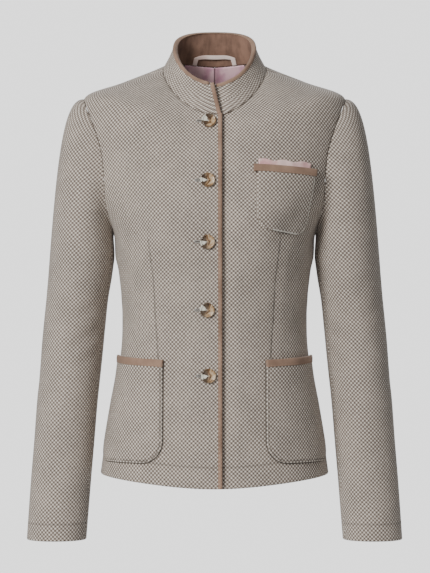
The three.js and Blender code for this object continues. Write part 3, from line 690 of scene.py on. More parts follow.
# %% [markdown]
# ## A sheet of cloth
# Each panel is a closed shell: an outer grid of points, an inner one a thickness further in, and a soft rim
# between them. The last row and column lie close to the edge and drop a little, so that the edge is rounded
# and two panels meet in the small valley that a pressed seam has.

# %% Shells, and what each piece needs
SOFT_OUTER, RIM_MIDDLE, SOFT_INNER = 0.38, 0.6, 0.8
EDGE_STEP = 0.0013
SMALLEST_SHEET = 0.011


def spaced(parts, length, near=True, far=True):
    """Places from 0 to 1 along a length, with a short first and last step where an edge is."""
    first = EDGE_STEP / length if near else 1 / parts
    last = EDGE_STEP / length if far else 1 / parts
    return np.concatenate([[0], np.linspace(first, 1 - last, parts - 1), [1]])


def grid_faces(rows, columns):
    corner = (np.arange(rows - 1)[:, None] * columns + np.arange(columns - 1)).ravel()
    return np.stack([corner, corner + 1, corner + columns + 1, corner + columns], 1)


def rim_loop(rows, columns):
    """The border points of a grid in order round it."""
    low = np.arange(columns - 1)
    right = np.arange(rows - 1) * columns + columns - 1
    top = (rows - 1) * columns + np.arange(columns - 1, 0, -1)
    left = np.arange(rows - 1, 0, -1) * columns
    return np.concatenate([low, right, top, left])


def facing_out(points, faces):
    """The faces, turned over if the closed shape they make is inside out."""
    a, b, c, d = (points[faces[:, k]] for k in range(4))
    volume = (a * np.cross(b, c)).sum() + (a * np.cross(c, d)).sum()
    return faces if volume > 0 else faces[:, ::-1]


def finish_piece(piece, node):
    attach(piece, "root")
    if node:
        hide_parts(node)


def smooth_mesh(name, points, faces, material):
    mesh = bpy.data.meshes.new(name)
    mesh.from_pydata(points.tolist(), [], faces)
    mesh.shade_smooth()
    mesh.materials.append(material)
    return mesh


def add_mesh(node, points, faces, material, flat=None, lines=None):
    """A piece of cloth that rides on the jacket, stands for its solid and takes a material."""
    name = "cloth_" + node
    mesh = smooth_mesh(name, points, facing_out(points, faces).tolist(), material)
    corners = np.zeros(len(mesh.loops), int)
    mesh.loops.foreach_get("vertex_index", corners)
    if flat is not None:
        mesh.uv_layers.new(name="cloth").data.foreach_set("uv", flat[corners].astype(np.float32).ravel())
    for line, away in (lines or {}).items():
        stored = (1 + away).astype(np.float32)
        mesh.attributes.new(line, "FLOAT", "POINT").data.foreach_set("value", stored)
    mesh.update()
    piece = new_object(name, mesh)
    finish_piece(piece, node)
    return piece


def declare_sheet(piece, grid, flat):
    """Says what the sheet was cut to: the size of its flat map, and the area of its cloth."""
    across, up = grid[:-1, 1:] - grid[:-1, :-1], grid[1:, :-1] - grid[:-1, :-1]
    area = float(np.linalg.norm(np.cross(across, up), axis=-1).sum())
    size = [max(round(float(np.ptp(flat[..., k])), 3), SMALLEST_SHEET) for k in range(2)]
    print(piece.name, "cut", size, "area", round(area, 4), "faces", len(piece.data.polygons))


def add_shell(
    node, surface, thick, flat, material, lines=None, grain=0
):
    """A closed sheet; surface gives its grid of points for a lift off the jacket's surface.

    lines holds distances to seams and darts, and grain turns the weave on the cloth.
    """
    rows, columns = flat.shape[:2]
    border = np.zeros((rows, columns), bool)
    border[[0, -1]] = True
    border[:, [0, -1]] = True
    outer = surface(np.where(border, -SOFT_OUTER * thick, 0))
    inner = surface(np.where(border, -SOFT_INNER * thick, -thick))
    loop = rim_loop(rows, columns)
    middle = surface(np.full((rows, columns), -RIM_MIDDLE * thick)).reshape(-1, 3)[loop]
    points = np.concatenate([outer.reshape(-1, 3), inner.reshape(-1, 3), middle])
    first = grid_faces(rows, columns)
    count = rows * columns
    rim = np.arange(len(loop))
    after = np.roll(rim, -1)
    faces = np.concatenate(
        [
            first,
            first[:, ::-1] + count,
            np.stack([loop[after], loop[rim], 2 * count + rim, 2 * count + after], 1),
            np.stack([2 * count + after, 2 * count + rim, count + loop[rim], count + loop[after]], 1),
        ]
    )

    def for_all(values):
        return np.concatenate([values, values, values[loop]])

    across, up = (np.abs(flat[..., 0]) if grain else flat[..., 0]).ravel(), flat[..., 1].ravel()
    cos, sin = math.cos(grain), math.sin(grain)
    turned = np.stack([across * cos + up * sin, up * cos - across * sin], 1)
    lines = {line: for_all(away.ravel()) for line, away in (lines or {}).items()}
    piece = add_mesh(node, points, faces, material, for_all(turned), lines)
    declare_sheet(piece, outer, flat)
    return {"piece": piece, "outer": surface(0.0), "inner": surface(-thick)}


# %% [markdown]
# ## Fronts and backs
# Two fronts and two backs are joined at the sides, at the shoulders and down the middle of the back. The
# rows of a panel run up from the hem, along the curved armhole and then along the shoulder seam. The
# flat map is the distance round the body and the distance up the cloth, so the weave is straight at the
# centre front or the centre back and follows the shape elsewhere. A dart takes in the waist.

# %% Panel spots
ARMHOLE_FRONT, ARMHOLE_BACK = math.radians(20), math.radians(18)
# rows, stations at the side from and to, stations at the centre from and to
PANEL_RUNS = [(92, 0, 0.345, 0, 0.338), (46, 0.345, 0.515, 0.338, 0.500), (20, 0.515, 0.575, 0.500, 0.575)]
PANEL_WIDE, FRONT_COLUMNS, BACK_COLUMNS = 0.21, 60, 50


def armhole_spot(part, bite):
    """The armhole's edge, from the underarm at 0 to the shoulder point at 1."""
    middle, reach = (UNDERARM + SHOULDER_POINT) / 2, (SHOULDER_POINT - UNDERARM) / 2
    return math.pi / 2 - bite * np.sin(np.pi * part), middle - reach * np.cos(np.pi * part)


def panel_rows(bite):
    side, centre, bites = [], [], []
    for k, (rows, side_from, side_to, centre_from, centre_to) in enumerate(PANEL_RUNS):
        part = spaced(rows, side_to - side_from, near=k == 0, far=k == len(PANEL_RUNS) - 1)
        part = part[(0 if k == 0 else 1) :]
        along_side, bitten = lerp(side_from, side_to, part), part * 0
        if side_from == UNDERARM:
            along_side, bitten = armhole_spot(part, bite)[1], bite * np.sin(np.pi * part)
        side.append(along_side)
        centre.append(lerp(centre_from, centre_to, part))
        bites.append(bitten)
    return (np.concatenate(a)[:, None] for a in (side, centre, bites))


def panel_spots(bite, columns, centre_angle):
    """Angle and station of a panel's points, from the side seam to its centre edge."""
    side, centre, bites = panel_rows(bite)
    across = spaced(columns, PANEL_WIDE)[None, :]
    station = lerp(side, centre, across)
    trim = SEAM / 2 / columns_at(BODY_RINGS, station)[4]
    start = math.pi / 2 - np.sign(bite) * trim - bites * (1 - across) ** 2
    return lerp(start, centre_angle(station), across), station


# %% Darts
# x and z of each dart, from its top down
FRONT_DART = millimetres(
    [[93.5, -247], [86.6, -300], [84.4, -339], [83.5, -362], [81.3, -385], [79.9, -413]]
)
BACK_DART = millimetres([[58, -215], [52, -300], [50, -385], [55, -455]])


def distance_to(dart, points):
    """Signed distance to a dart's line, measured across it."""
    x, z = np.abs(points[..., 0]), points[..., 2]
    beyond = np.maximum(np.maximum(z - dart[0, 1], dart[-1, 1] - z), 0)
    off = x - np.interp(-z, -dart[:, 1], dart[:, 0])
    return np.where(off < 0, -1, 1) * np.hypot(off, beyond)


# %% Pocket measures, which also place the painted shadow round each pocket on the fronts
# near side, far side at the top and at the bottom, height of the top, its tilt, height of the bottom,
# its slope, corner radius, distance off the front, the same at the mouth, extra gape in the middle,
# whether the near edge shows, with a painted shadow beside it and a painted highlight on its rim, and the
# rows and columns of its grid
LOWER_POCKET = dict(
    near=0.074, far_top=0.183, far_low=0.211, top=-0.414, tilt=0.005, bottom=-0.561, slope=0.0,
    corner=0.032, lying=0.0009, mouth=0.0021, gape=0.0016, near_shows=True, rows=46, columns=40,
)
BREAST_POCKET = dict(
    near=0.060, far_top=0.146, far_low=0.146, top=-0.144, tilt=-0.0045, bottom=-0.2355, slope=-0.006,
    corner=0.023, lying=0.0012, mouth=0.0043, gape=0.0016, near_shows=False, rows=34, columns=32,
)
# a distance far enough off that no painted shadow is drawn
NO_PAINTED_SHADOW = 0.1

# %% Cutting the panels
def pocket_away(pocket, girth, height):
    """Signed distance to a pocket's outline, below its mouth, where the fronts get a painted shadow; far off
    where that shadow is hidden.
    """
    near, corner = pocket["near"], pocket["corner"]
    up = np.clip((height - pocket["bottom"]) / (pocket["top"] - pocket["bottom"]), 0, 1)
    far = lerp(pocket["far_low"], pocket["far_top"], up)
    low = pocket["bottom"] + pocket["slope"] * ((girth - near) / (far - near) - 0.5)
    drawn_from = near if pocket["near_shows"] else near + corner
    over_side = np.maximum(drawn_from - girth, girth - far) + corner
    over_low = low - height + corner
    outside = np.hypot(np.maximum(over_side, 0), np.maximum(over_low, 0))
    away = outside + np.minimum(np.maximum(over_side, over_low), 0) - corner
    hidden = height > pocket["top"]
    if not pocket["near_shows"]:
        hidden |= girth < near + corner / 2
    return np.where(hidden, NO_PAINTED_SHADOW, away)


def add_panel(node, side, spots, extra_lift, dart, pockets=(), grain_angle=0.0):
    """Adds one front or back; its grain runs straight up the line at grain_angle."""
    angle, station = spots
    skin = body_skin(side * angle, station)
    girth, rise = girth_to(angle, station), rise_to(angle, station)
    hem_height = body_skin(angle, 0 * station)[..., 2]
    to_grain = girth_to(0 * angle + grain_angle, station) if grain_angle else 0 * girth
    flat = np.stack([side * (girth - to_grain), hem_height + rise], -1)
    extra = extra_lift(skin[..., 0])

    def surface(lift):
        return lifted(body_skin, side * angle, station, extra + lift)

    lines = {"line": distance_to(dart, skin), "hem": rise}
    if pockets:
        # the "pocket" attribute places a thin painted shadow on the front just outside each pocket
        pocket_shadow_outlines = np.stack([pocket_away(pocket, girth, skin[..., 2]) for pocket in pockets])
        lines["pocket"] = pocket_shadow_outlines.min(0)
    return add_shell(node, surface, TWEED, flat, TWEED_BODY, lines=lines)


def front_spots(edge_x):
    def edge_angle(station):
        return np.arcsin(edge_x / columns_at(BODY_RINGS, station)[5])

    return panel_spots(ARMHOLE_FRONT, FRONT_COLUMNS, edge_angle)


def back_edge_angle(station):
    return math.pi - SEAM / 2 / columns_at(BODY_RINGS, station)[6]


LAP_EDGE, LAP_UNDER = 0.010, -0.024
front_right = add_panel("front_right", -1, front_spots(-LAP_EDGE), lap_lift, FRONT_DART, [LOWER_POCKET])
add_panel("front_left", 1, front_spots(LAP_UNDER), tuck_lift, FRONT_DART, [LOWER_POCKET, BREAST_POCKET])
for node, side in (("back_right", -1), ("back_left", 1)):
    spots = panel_spots(-ARMHOLE_BACK, BACK_COLUMNS, back_edge_angle)
    add_panel(node, side, spots, np.zeros_like, BACK_DART, grain_angle=math.pi)

# %% [markdown]
# ## Sleeves
# A set-in sleeve hangs from the armhole. Its head leaves the seam outwards, rolls over and falls to the
# upper arm, and the tube below bends forward at the elbow. Each sleeve is cut in two pieces, a wide upper
# one and a narrow under one. The angle round a sleeve is 0 outside, 90 degrees at the front and 180 degrees
# at the body.

# %% Sleeve surface
# how far the curve of the head reaches out of the seam, and how long it falls straight at its lower end
CAP_TOP_OUT, CAP_SIDE_OUT, CAP_PIT_OUT = 0.028, 0.020, 0.0032
CAP_TOP_DOWN, CAP_PIT_DOWN, CAP_FORWARD, CAP_RISE, CAP_CROWD = 0.7, 0.35, 0.15, 0.12, 1.2
SLEEVE_FRONT_SEAM, SLEEVE_BACK_SEAM = 160, -120
ARMHOLE_INSET, ARMHOLE_SINK = 0.0004, 0.0004
SLEEVE_STEP = 0.002


def sleeve_tube(turn, down):
    _, centre_x, centre_y, half, deep = columns_at(SLEEVE_RINGS, down)
    shrink = 1 - fold_depth(SLEEVE_FOLDS, np.mod(turn, 2 * np.pi), down, half) / half
    x = centre_x + shrink * half * np.cos(turn)
    y = centre_y - shrink * deep * np.sin(turn)
    return np.stack([x, y, -down], -1)


def armhole_point(turn):
    bite = np.where(np.sin(turn) > 0, ARMHOLE_FRONT, -ARMHOLE_BACK)
    angle, station = armhole_spot(1 - np.arccos(np.cos(turn)) / np.pi, bite)
    return lifted(body_skin, angle, station, -ARMHOLE_SINK)


ARMHOLE_CENTRE = armhole_point(np.radians([90.0, -90.0])).mean(0)


def sleeve_cap(turn, along):
    """From the armhole at 0 over the sleeve head to the bicep at 1, as one curve for each turn."""
    start = armhole_point(turn)
    inward = (ARMHOLE_CENTRE - start) * [0, 1, 1]
    start = start + unit(inward) * ARMHOLE_INSET
    bicep = np.full_like(turn, BICEP)
    end = sleeve_tube(turn, bicep)
    drop = (sleeve_tube(turn, bicep + NUDGE_STATION) - end) / NUDGE_STATION
    low = (1 - np.cos(turn)) / 2
    over, under = lerp(CAP_TOP_OUT, CAP_SIDE_OUT, 2 * low), lerp(CAP_SIDE_OUT, CAP_PIT_OUT, 2 * low - 1)
    out = np.where(low < 0.5, over, under)
    rise = CAP_RISE * np.maximum(np.cos(turn), 0)
    leave = np.stack([np.ones_like(turn), -CAP_FORWARD * np.sin(turn), rise], -1) * out[..., None]
    reach = np.linalg.norm(start - end, axis=-1) * lerp(CAP_TOP_DOWN, CAP_PIT_DOWN, low)
    t = np.clip(along, 0, 1)[..., None]
    pulls = (1 - t) ** 3, 3 * t * (1 - t) ** 2, 3 * t**2 * (1 - t), t**3
    return sum(w * p for w, p in zip(pulls, (start, start + leave, end - drop * reach[..., None], end)))


def sleeve_skin(turn, along):
    """Down the sleeve: 0 at the armhole, 1 at the bicep, 2 at the cuff."""
    tube = sleeve_tube(turn, lerp(BICEP, CUFF, np.maximum(along, 1) - 1))
    return np.where((along >= 1)[..., None], tube, sleeve_cap(turn, along))


def sleeve_point(turn, along, lift):
    round_it = sleeve_skin(turn + NUDGE_ANGLE, along) - sleeve_skin(turn - NUDGE_ANGLE, along)
    down = sleeve_skin(turn, along + SLEEVE_STEP) - sleeve_skin(turn, np.maximum(along - SLEEVE_STEP, 0))
    lift = np.broadcast_to(lift, turn.shape)
    return sleeve_skin(turn, along) + unit(np.cross(round_it, down)) * lift[..., None]


# %% Sleeve pieces
CAP_ROWS, TUBE_ROWS, UPPER_PARTS, UNDER_PARTS = 44, 100, 60, 18
SLEEVE_RADIUS, CAP_LONG = 0.045, 0.2
TURNS_FROM, TURNS_TO, TURN_STEP = -2.4, 4.5, 0.01
HEAD_POINTS = 200


def girth_table():
    """Distances round the bicep from the outside line, for a run of turns."""
    turns = np.arange(TURNS_FROM, TURNS_TO, TURN_STEP)
    girth = run_lengths(sleeve_tube(turns, np.full_like(turns, BICEP)))
    return turns, girth - np.interp(0, turns, girth)


def sleeve_map(turn, along):
    """The flat map: distance round from the outside line, and distance up from the cuff.

    Over the sleeve head the grain goes straight on up, so the map there reads heights and directions.
    """
    rows = sleeve_skin(turn, along)
    down = run_lengths(rows)
    tube = sleeve_skin(turn[..., None] * GIRTH_PARTS, np.maximum(along, 1)[..., None] + 0 * GIRTH_PARTS)
    round_it = whole_length(tube) * np.sign(turn)
    up = down[-1] - down

    top = sleeve_skin(np.zeros(HEAD_POINTS), np.linspace(1, 0, HEAD_POINTS))
    risen = run_lengths(top)
    _, _, centre_y, half, deep = columns_at(SLEEVE_RINGS, BICEP)
    outermost = np.interp(rows[..., 2], top[:, 2], top[:, 0])
    toward = np.arctan2((centre_y - rows[..., 1]) / deep, (rows[..., 0] - outermost + half) / half)
    toward = turn + np.arctan2(np.sin(toward - turn), np.cos(toward - turn))
    head = np.interp(toward, *girth_table())
    head_up = np.interp(rows[..., 2], top[:, 2], risen) + up[CAP_ROWS]
    on_head = along < 1
    return np.stack([np.where(on_head, head, round_it), np.where(on_head, head_up, up)], -1)


def add_sleeve_piece(node, side, turn_from, turn_to, columns):
    cap = spaced(CAP_ROWS, CAP_LONG, far=False) ** CAP_CROWD
    tube = 1 + spaced(TUBE_ROWS, CUFF - BICEP, near=False)[1:]
    along = np.concatenate([cap, tube])[:, None]
    around = spaced(columns, math.radians(turn_to - turn_from) * SLEEVE_RADIUS)[None, :]
    trim = SEAM / 2 / SLEEVE_RADIUS * ((around == 0) * 1.0 - (around == 1))
    turn = np.radians(lerp(turn_from, turn_to, around)) + trim
    turn, along = together(turn, along)
    flat = sleeve_map(turn, along)

    def surface(lift):
        return sleeve_point(turn, along, lift) * [side, 1, 1]

    add_shell(node, surface, TWEED, flat * [side, 1], TWEED_SLEEVE, lines={"hem": flat[..., 1]})


for label, side in (("right", -1), ("left", 1)):
    add_sleeve_piece(f"sleeve_upper_{label}", side, SLEEVE_BACK_SEAM, SLEEVE_FRONT_SEAM, UPPER_PARTS)
    add_sleeve_piece(f"sleeve_under_{label}", side, SLEEVE_FRONT_SEAM, SLEEVE_BACK_SEAM + 360, UNDER_PARTS)

# %% [markdown]
# ## Collar and its facing
# The collar is a low band that stands up round the neck, with the right end lapped over the left at the
# front. Its inside is faced with brown suede, which the photograph shows through the neck.

# %% Collar sheets
COLLAR_BASE_X, COLLAR_TOP_X, COLLAR_UNDER_X = 0.0088, -0.0016, -0.016
COLLAR_LOW, FACING_LOW = 0.0006, 0.0003
COLLAR_GRAIN, COLLAR_ROUND = 0.6, 0.37
COLLAR_ROWS, COLLAR_COLUMNS = 18, 110


def collar_lift(angle, x):
    tucked = COLLAR_TUCKED * ease(x, *COLLAR_FADE)
    return np.where(np.cos(angle) < 0, 0, np.where(angle > -np.pi, lap_lift(x), tucked))


def collar_point(angle, station, lift):
    x = collar_skin(angle, station)[..., 0]
    return lifted(collar_skin, angle, station, collar_lift(angle, x) + lift)


def collar_spots(low):
    station = lerp(low, COLLAR_HEIGHT, spaced(COLLAR_ROWS, COLLAR_HEIGHT))[:, None]
    depth = columns_at(COLLAR_RINGS, station)[5]
    start = np.arcsin(lerp(COLLAR_BASE_X, COLLAR_TOP_X, station / COLLAR_HEIGHT) / depth)
    end = -2 * np.pi + np.arcsin(COLLAR_UNDER_X / depth)
    angle = lerp(start, end, spaced(COLLAR_COLUMNS, COLLAR_ROUND)[None, :])
    return angle, np.broadcast_to(station, angle.shape).copy()


def add_collar_sheet(node, low, lift_off, thick, material, grain):
    angle, station = collar_spots(low)
    along = run_lengths(collar_point(angle, station, lift_off), 1)
    behind = np.abs(angle + np.pi).argmin(1)
    along -= np.take_along_axis(along, behind[:, None], 1)

    def surface(lift):
        return collar_point(angle, station, lift_off + lift)

    return add_shell(node, surface, thick, np.stack([along, station], -1), material, grain=grain)


collar = add_collar_sheet("collar", COLLAR_LOW, 0, TWEED, TWEED_SMALL, COLLAR_GRAIN)
facing = add_collar_sheet("collar_facing", FACING_LOW, -TWEED - SEAM, FACING, SUEDE_FACING, 0)

# %% [markdown]
# ## Patch pockets
# A patch pocket is a piece of the same cloth laid on the front, with round lower corners and a mouth that
# stands off a little where the bound edge is thicker. Its spots are measured on the front, as a tailor
# marks them: how far from the centre, and how high.

# %% Pocket cloth
MOUTH_SPREAD, POCKET_CROWD, POCKET_WIDE, BORDER_REACH = 0.060, 1.25, 0.12, 0.02


def pocket_top(pocket, across):
    return pocket["top"] + pocket["tilt"] * (across - 0.5)


def pocket_spots(pocket):
    across = spaced(pocket["columns"], POCKET_WIDE)[None, :]
    straight_up = spaced(pocket["rows"], POCKET_WIDE)[:, None]
    top = pocket_top(pocket, across)
    low = pocket["bottom"] + pocket["slope"] * (across - 0.5)
    height = lerp(low, top, straight_up**POCKET_CROWD)
    corner = pocket["corner"]
    above = np.clip(height - low, 0, corner)
    inset = corner - np.sqrt(corner**2 - (corner - above) ** 2)
    far = lerp(pocket["far_low"], pocket["far_top"], straight_up)
    girth = lerp(pocket["near"] + inset, far - inset, across)
    opened = ease(height, top - MOUTH_SPREAD, top)
    stand = pocket["mouth"] - pocket["lying"] + pocket["gape"] * np.sin(np.pi * across)
    return girth, height, pocket["lying"] + opened * stand


def border_away(flat, near_shows):
    """Distance from each point of a pocket to its nearest side or bottom edge."""
    near = [flat[:, 0]] if near_shows else []
    rim = np.concatenate([*near, flat[0, :], flat[:, -1]])
    return np.linalg.norm(flat[..., None, :] - rim, axis=-1).min(-1)


def add_pocket(node, pocket, side):
    girth, height, stand = pocket_spots(pocket)
    angle, station = body_spot(girth, height)
    flat = np.stack([girth, height], -1)
    # the distance to the edges draws the pocket's stitching and the painted highlight along its rim
    lines = {"line": np.minimum(border_away(flat, pocket["near_shows"]), BORDER_REACH)}
    material = TWEED_SMALL if pocket["near_shows"] else TWEED_BREAST

    def surface(lift):
        return lifted(body_skin, side * angle, station, stand + TWEED + lift)

    return add_shell(node, surface, TWEED, flat * [side, 1], material, lines)


pocket_right = add_pocket("pocket_right", LOWER_POCKET, -1)
pocket_left = add_pocket("pocket_left", LOWER_POCKET, 1)
breast_pocket = add_pocket("breast_pocket", BREAST_POCKET, 1)

# %% [markdown]
# ## Bindings
# The front edge, the collar and the pocket mouths are bound: a strip of suede is folded over the raw edge
# and stitched down on both sides. The strip is swept along the edge with one drawn section, which puffs up
# between the fold and the line of stitching.

# %% Folding a strip over an edge
BINDING_WIDTH, POCKET_BINDING = 0.007, 0.0116
FRONT_WIDTH, COLLAR_WIDTH = 0.0062, 0.0052
# one leg from its stitched edge to the fold: distance past the cloth's edge and height above the cloth,
# first for the outer face of the strip, then for its underside
LEG = millimetres(
    [
        [-5.9, 0.35, -5.8, 0.15],
        [-5.8, 0.85, -5.5, 0.15],
        [-5.3, 1.05, -5.2, 0.15],
        [-4.7, 0.75, -4.6, 0.15],  # drawn in by the stitching
        [-4.0, 1.15, -3.9, 0.15],
        [-2.8, 1.45, -2.8, 0.20],
        [-1.4, 1.50, -1.4, 0.20],
        [-0.3, 1.30, -0.4, 0.20],
        [0.35, 0.85, 0.0, 0.15],
        [0.70, 0.30, 0.15, 0.00],
    ]
)
STITCH_LINE = -0.0047
# how far the strip's outer face and its underside reach past the edge, half way through the wall
TIP_OUT = 0.0008, 0.0002


def edge_frames(edge, inner, beside):
    """At each point of an edge: the point, the way out past it, the normal and the wall's thickness."""
    along = np.empty_like(edge)
    along[1:-1] = edge[2:] - edge[:-2]
    along[0], along[-1] = edge[1] - edge[0], edge[-1] - edge[-2]
    along = unit(along)
    past = edge - beside
    past = unit(past - along * (past * along).sum(-1, keepdims=True))
    wall = edge - inner
    normal = unit(wall - past * (wall * past).sum(-1, keepdims=True))
    return {"edge": edge, "past": past, "normal": normal, "thick": (normal * wall).sum(-1)}


def join_frames(*runs):
    return {key: np.concatenate([run[key] for run in runs]) for key in runs[0]}


def frames_at(frames, places):
    """Frames at distances along the edge, also a little beyond its ends."""
    edge = frames["edge"]
    lengths = run_lengths(edge)
    i = np.clip(np.searchsorted(lengths, places) - 1, 0, len(edge) - 2)
    t = (places - lengths[i]) / (lengths[i + 1] - lengths[i])
    mixed = {}
    for key, value in frames.items():
        mixed[key] = lerp(value[i], value[i + 1], t if value.ndim == 1 else t[:, None])
    return {**mixed, "past": unit(mixed["past"]), "normal": unit(mixed["normal"])}


def edge_length(frames):
    return float(whole_length(frames["edge"]))


def strip_layer(frames, u, above, inside):
    """Points of one line of the strip; inside lines lie under the wall's far face."""
    height = -frames["thick"] - above if inside else above
    return frames["edge"] + frames["past"] * u + frames["normal"] * np.reshape(height, (-1, 1))


def add_binding(node, frames, width, inner_share=1.0):
    """The strip; on the inside its leg may be narrower, as where a facing comes up to the edge."""
    wide = np.where(LEG[:, [0, 2]] < 0, width / BINDING_WIDTH, 1) * LEG[:, [0, 2]]
    middle = -frames["thick"] / 2
    layers = []
    for k in (0, 1):
        up, down = [
            [strip_layer(frames, wide[i, k] * share, LEG[i, 2 * k + 1], inside) for i in range(len(LEG))]
            for inside, share in ((False, 1.0), (True, inner_share))
        ]
        tip = frames["edge"] + frames["past"] * TIP_OUT[k] + frames["normal"] * middle[:, None]
        layers.append(np.stack([*up, tip, *down[::-1]], 1))
    outside, underside = layers
    count, lines = outside.shape[:2]
    ring = np.concatenate([outside, underside[:, ::-1]], 1)
    points = ring.reshape(-1, 3)
    size = ring.shape[1]
    first, rows = np.arange(size), np.arange(count - 1)[:, None] * size
    corner = (rows + first).ravel()
    beside = (rows + np.roll(first, -1)).ravel()
    sides = np.stack([corner, beside, beside + size, corner + size], 1)
    cap = np.array([[i, size - 1 - i, size - 2 - i, i + 1] for i in range(lines - 1)])
    end = (count - 1) * size
    faces = np.concatenate([sides, cap, cap[:, ::-1] + end])
    piece = add_mesh(node, points, faces, SUEDE_BINDING)
    unfolded = float(whole_length(outside[count // 2]))
    size_cut = (round(max(unfolded, SMALLEST_SHEET), 4), round(edge_length(frames), 3))
    print(piece.name, "cut", size_cut)


# %% Front, collar and pocket bindings
CLEAR_OF_FRONT, COVERED_AT = 0.0062, 0.0024
COLLAR_INNER_LEG = 0.3
# how far a binding runs on past the sides of its pocket
PAST_POCKET, PAST_BREAST_NEAR, PAST_BREAST_FAR = 0.001, 0.0055, 0.002
MOUTH_PARTS = 44

outer, inner = front_right["outer"], front_right["inner"]
front_edge = edge_frames(outer[:, -1], inner[:, -1], outer[:, -2])
collar_end = edge_frames(collar["outer"][:, 0], facing["inner"][:, 0], collar["outer"][:, 1])
front_frames = join_frames(front_edge, collar_end)
add_binding("front_binding", front_frames, FRONT_WIDTH)

collar_top = edge_frames(collar["outer"][-1], facing["inner"][-1], collar["outer"][-2])
seen_to = np.flatnonzero(collar_top["edge"][:, 0] > COVERED_AT)[-1] + 1
shown = {key: value[:seen_to] for key, value in collar_top.items()}
collar_frames = frames_at(collar_top, np.linspace(CLEAR_OF_FRONT, edge_length(shown), COLLAR_COLUMNS))
add_binding("collar_binding", collar_frames, COLLAR_WIDTH, COLLAR_INNER_LEG)


def mouth_frames(pocket, near_over, far_over):
    whole = edge_frames(pocket["outer"][-1], pocket["inner"][-1], pocket["outer"][-2])
    return frames_at(whole, np.linspace(-near_over, edge_length(whole) + far_over, MOUTH_PARTS))


MOUTHS = {
    "pocket_binding_right": mouth_frames(pocket_right, PAST_POCKET, PAST_POCKET),
    "pocket_binding_left": mouth_frames(pocket_left, PAST_POCKET, PAST_POCKET),
    "breast_binding": mouth_frames(breast_pocket, PAST_BREAST_NEAR, PAST_BREAST_FAR),
}
for node, frames in MOUTHS.items():
    add_binding(node, frames, POCKET_BINDING)

# %% [markdown]
# ## Strip over the breast pocket, hanger loop and lining
# A pale satin strip is sewn in behind the breast pocket, with an uneven top. Inside the back of the neck
# are a tape loop to hang the jacket by, with its ends stitched down flat, and the satin lining with a
# small pleat in the middle, which gives the shoulders room.

# %% Satin strip
STRIP = dict(
    near=0.062, far=0.140, rise=0.009, sink=0.007, wave=0.0012, waves=17, lean=0.0015,
    ripple=0.0004, ripples=31, ripple_up=2, wide=0.08, high=0.016, rows=10, columns=40,
)


def add_strip():
    across = spaced(STRIP["columns"], STRIP["wide"])[None, :]
    up = spaced(STRIP["rows"], STRIP["high"])[:, None]
    wave = STRIP["wave"] * np.sin(across * STRIP["waves"]) * up
    top = pocket_top(BREAST_POCKET, across) + STRIP["rise"] + wave
    height = lerp(BREAST_POCKET["top"] - STRIP["sink"], top, up)
    girth = lerp(STRIP["near"], STRIP["far"], across) + 0 * up
    angle, station = body_spot(girth, height)
    ripple = STRIP["ripple"] * np.sin(across * STRIP["ripples"] + up * STRIP["ripple_up"]) * up

    def surface(lift):
        return lifted(body_skin, angle, station, LYING + SATIN + STRIP["lean"] * up**4 + ripple + lift)

    flat = np.stack([girth, station], -1)
    add_shell("breast_insert", surface, SATIN, flat, SATIN_STRIP)


add_strip()

# %% Hanger loop and lining
LOOP = dict(
    reach=0.033, tab=0.0055, tab_low=0.0010, band_low=0.0062, band_high=0.0100, bow=0.0052, bow_low=0.8,
    stand=0.003, draw=0.92, high=0.016, rows=7, columns=66,
)
LINING = dict(
    reach=math.radians(42), low=0.470, high=0.5747, pleat=0.002, pleat_wide=0.005, tall=0.103, wide=0.13,
    rows=34, columns=46,
)


def loop_spots(x, up):
    arch = 1 - (x / LOOP["reach"]) ** 2
    bow = LOOP["bow"] * (1 - (x / LOOP["reach"]) ** 4)
    tab = np.abs(x) > LOOP["reach"] - LOOP["tab"]
    low = np.where(tab, LOOP["tab_low"], LOOP["band_low"] + LOOP["bow_low"] * bow)
    station = lerp(low, LOOP["band_high"] + bow, up)
    behind = columns_at(COLLAR_RINGS, np.array([LOOP["band_low"]]))[6][0]
    angle = -np.pi - np.arcsin(x / behind) * LOOP["draw"]
    return angle, station, -TWEED - FACING - 2 * SEAM - LOOP["stand"] * arch


def add_loop():
    x = lerp(-LOOP["reach"], LOOP["reach"], spaced(LOOP["columns"], 2 * LOOP["reach"]))[None, :]
    up = spaced(LOOP["rows"], LOOP["high"])[:, None]
    angle, station, stand = together(*loop_spots(x, up))
    flat = np.stack([x + 0 * station, station], -1)

    def surface(lift):
        return collar_point(angle, station, stand + lift)

    add_shell("hanger_loop", surface, SATIN, flat, TAPE)


def add_lining():
    up, across = spaced(LINING["rows"], LINING["tall"]), spaced(LINING["columns"], LINING["wide"])
    station = lerp(LINING["low"], LINING["high"], up)[:, None]
    angle = math.pi + lerp(-LINING["reach"], LINING["reach"], across)[None, :]
    angle, station = together(angle, station)
    x = body_skin(angle, station)[..., 0]
    pleat = LINING["pleat"] * np.exp(-((x / LINING["pleat_wide"]) ** 2))

    def surface(lift):
        return lifted(body_skin, angle, station, -TWEED - LYING - pleat + lift)

    flat = np.stack([x, station], -1)
    # the x in "line" puts the dark line of painted shade down the pleat's crease
    add_shell("back_lining", surface, SATIN, flat, LINING_SATIN, {"line": x})


add_loop()
add_lining()

# %% [markdown]
# ## Buttons
# Each button is a turned disc of horn: a raised rim, a dished middle and four sewing holes. It starts as a
# short cylinder and gets its section by narrowing, extruding and insetting its end faces, as on a lathe.
# The holes are drilled with a Boolean modifier. One button is made and copied five times.

# %% Modelling the button
BUTTON_RADIUS, BUTTON_FOOT = 0.0105, 0.0076
BUTTON_WIDEST, BUTTON_TOP = 0.0018, 0.0040
HOLE_RADIUS, HOLE_OUT = 0.0010, 0.0024 / math.sqrt(2)
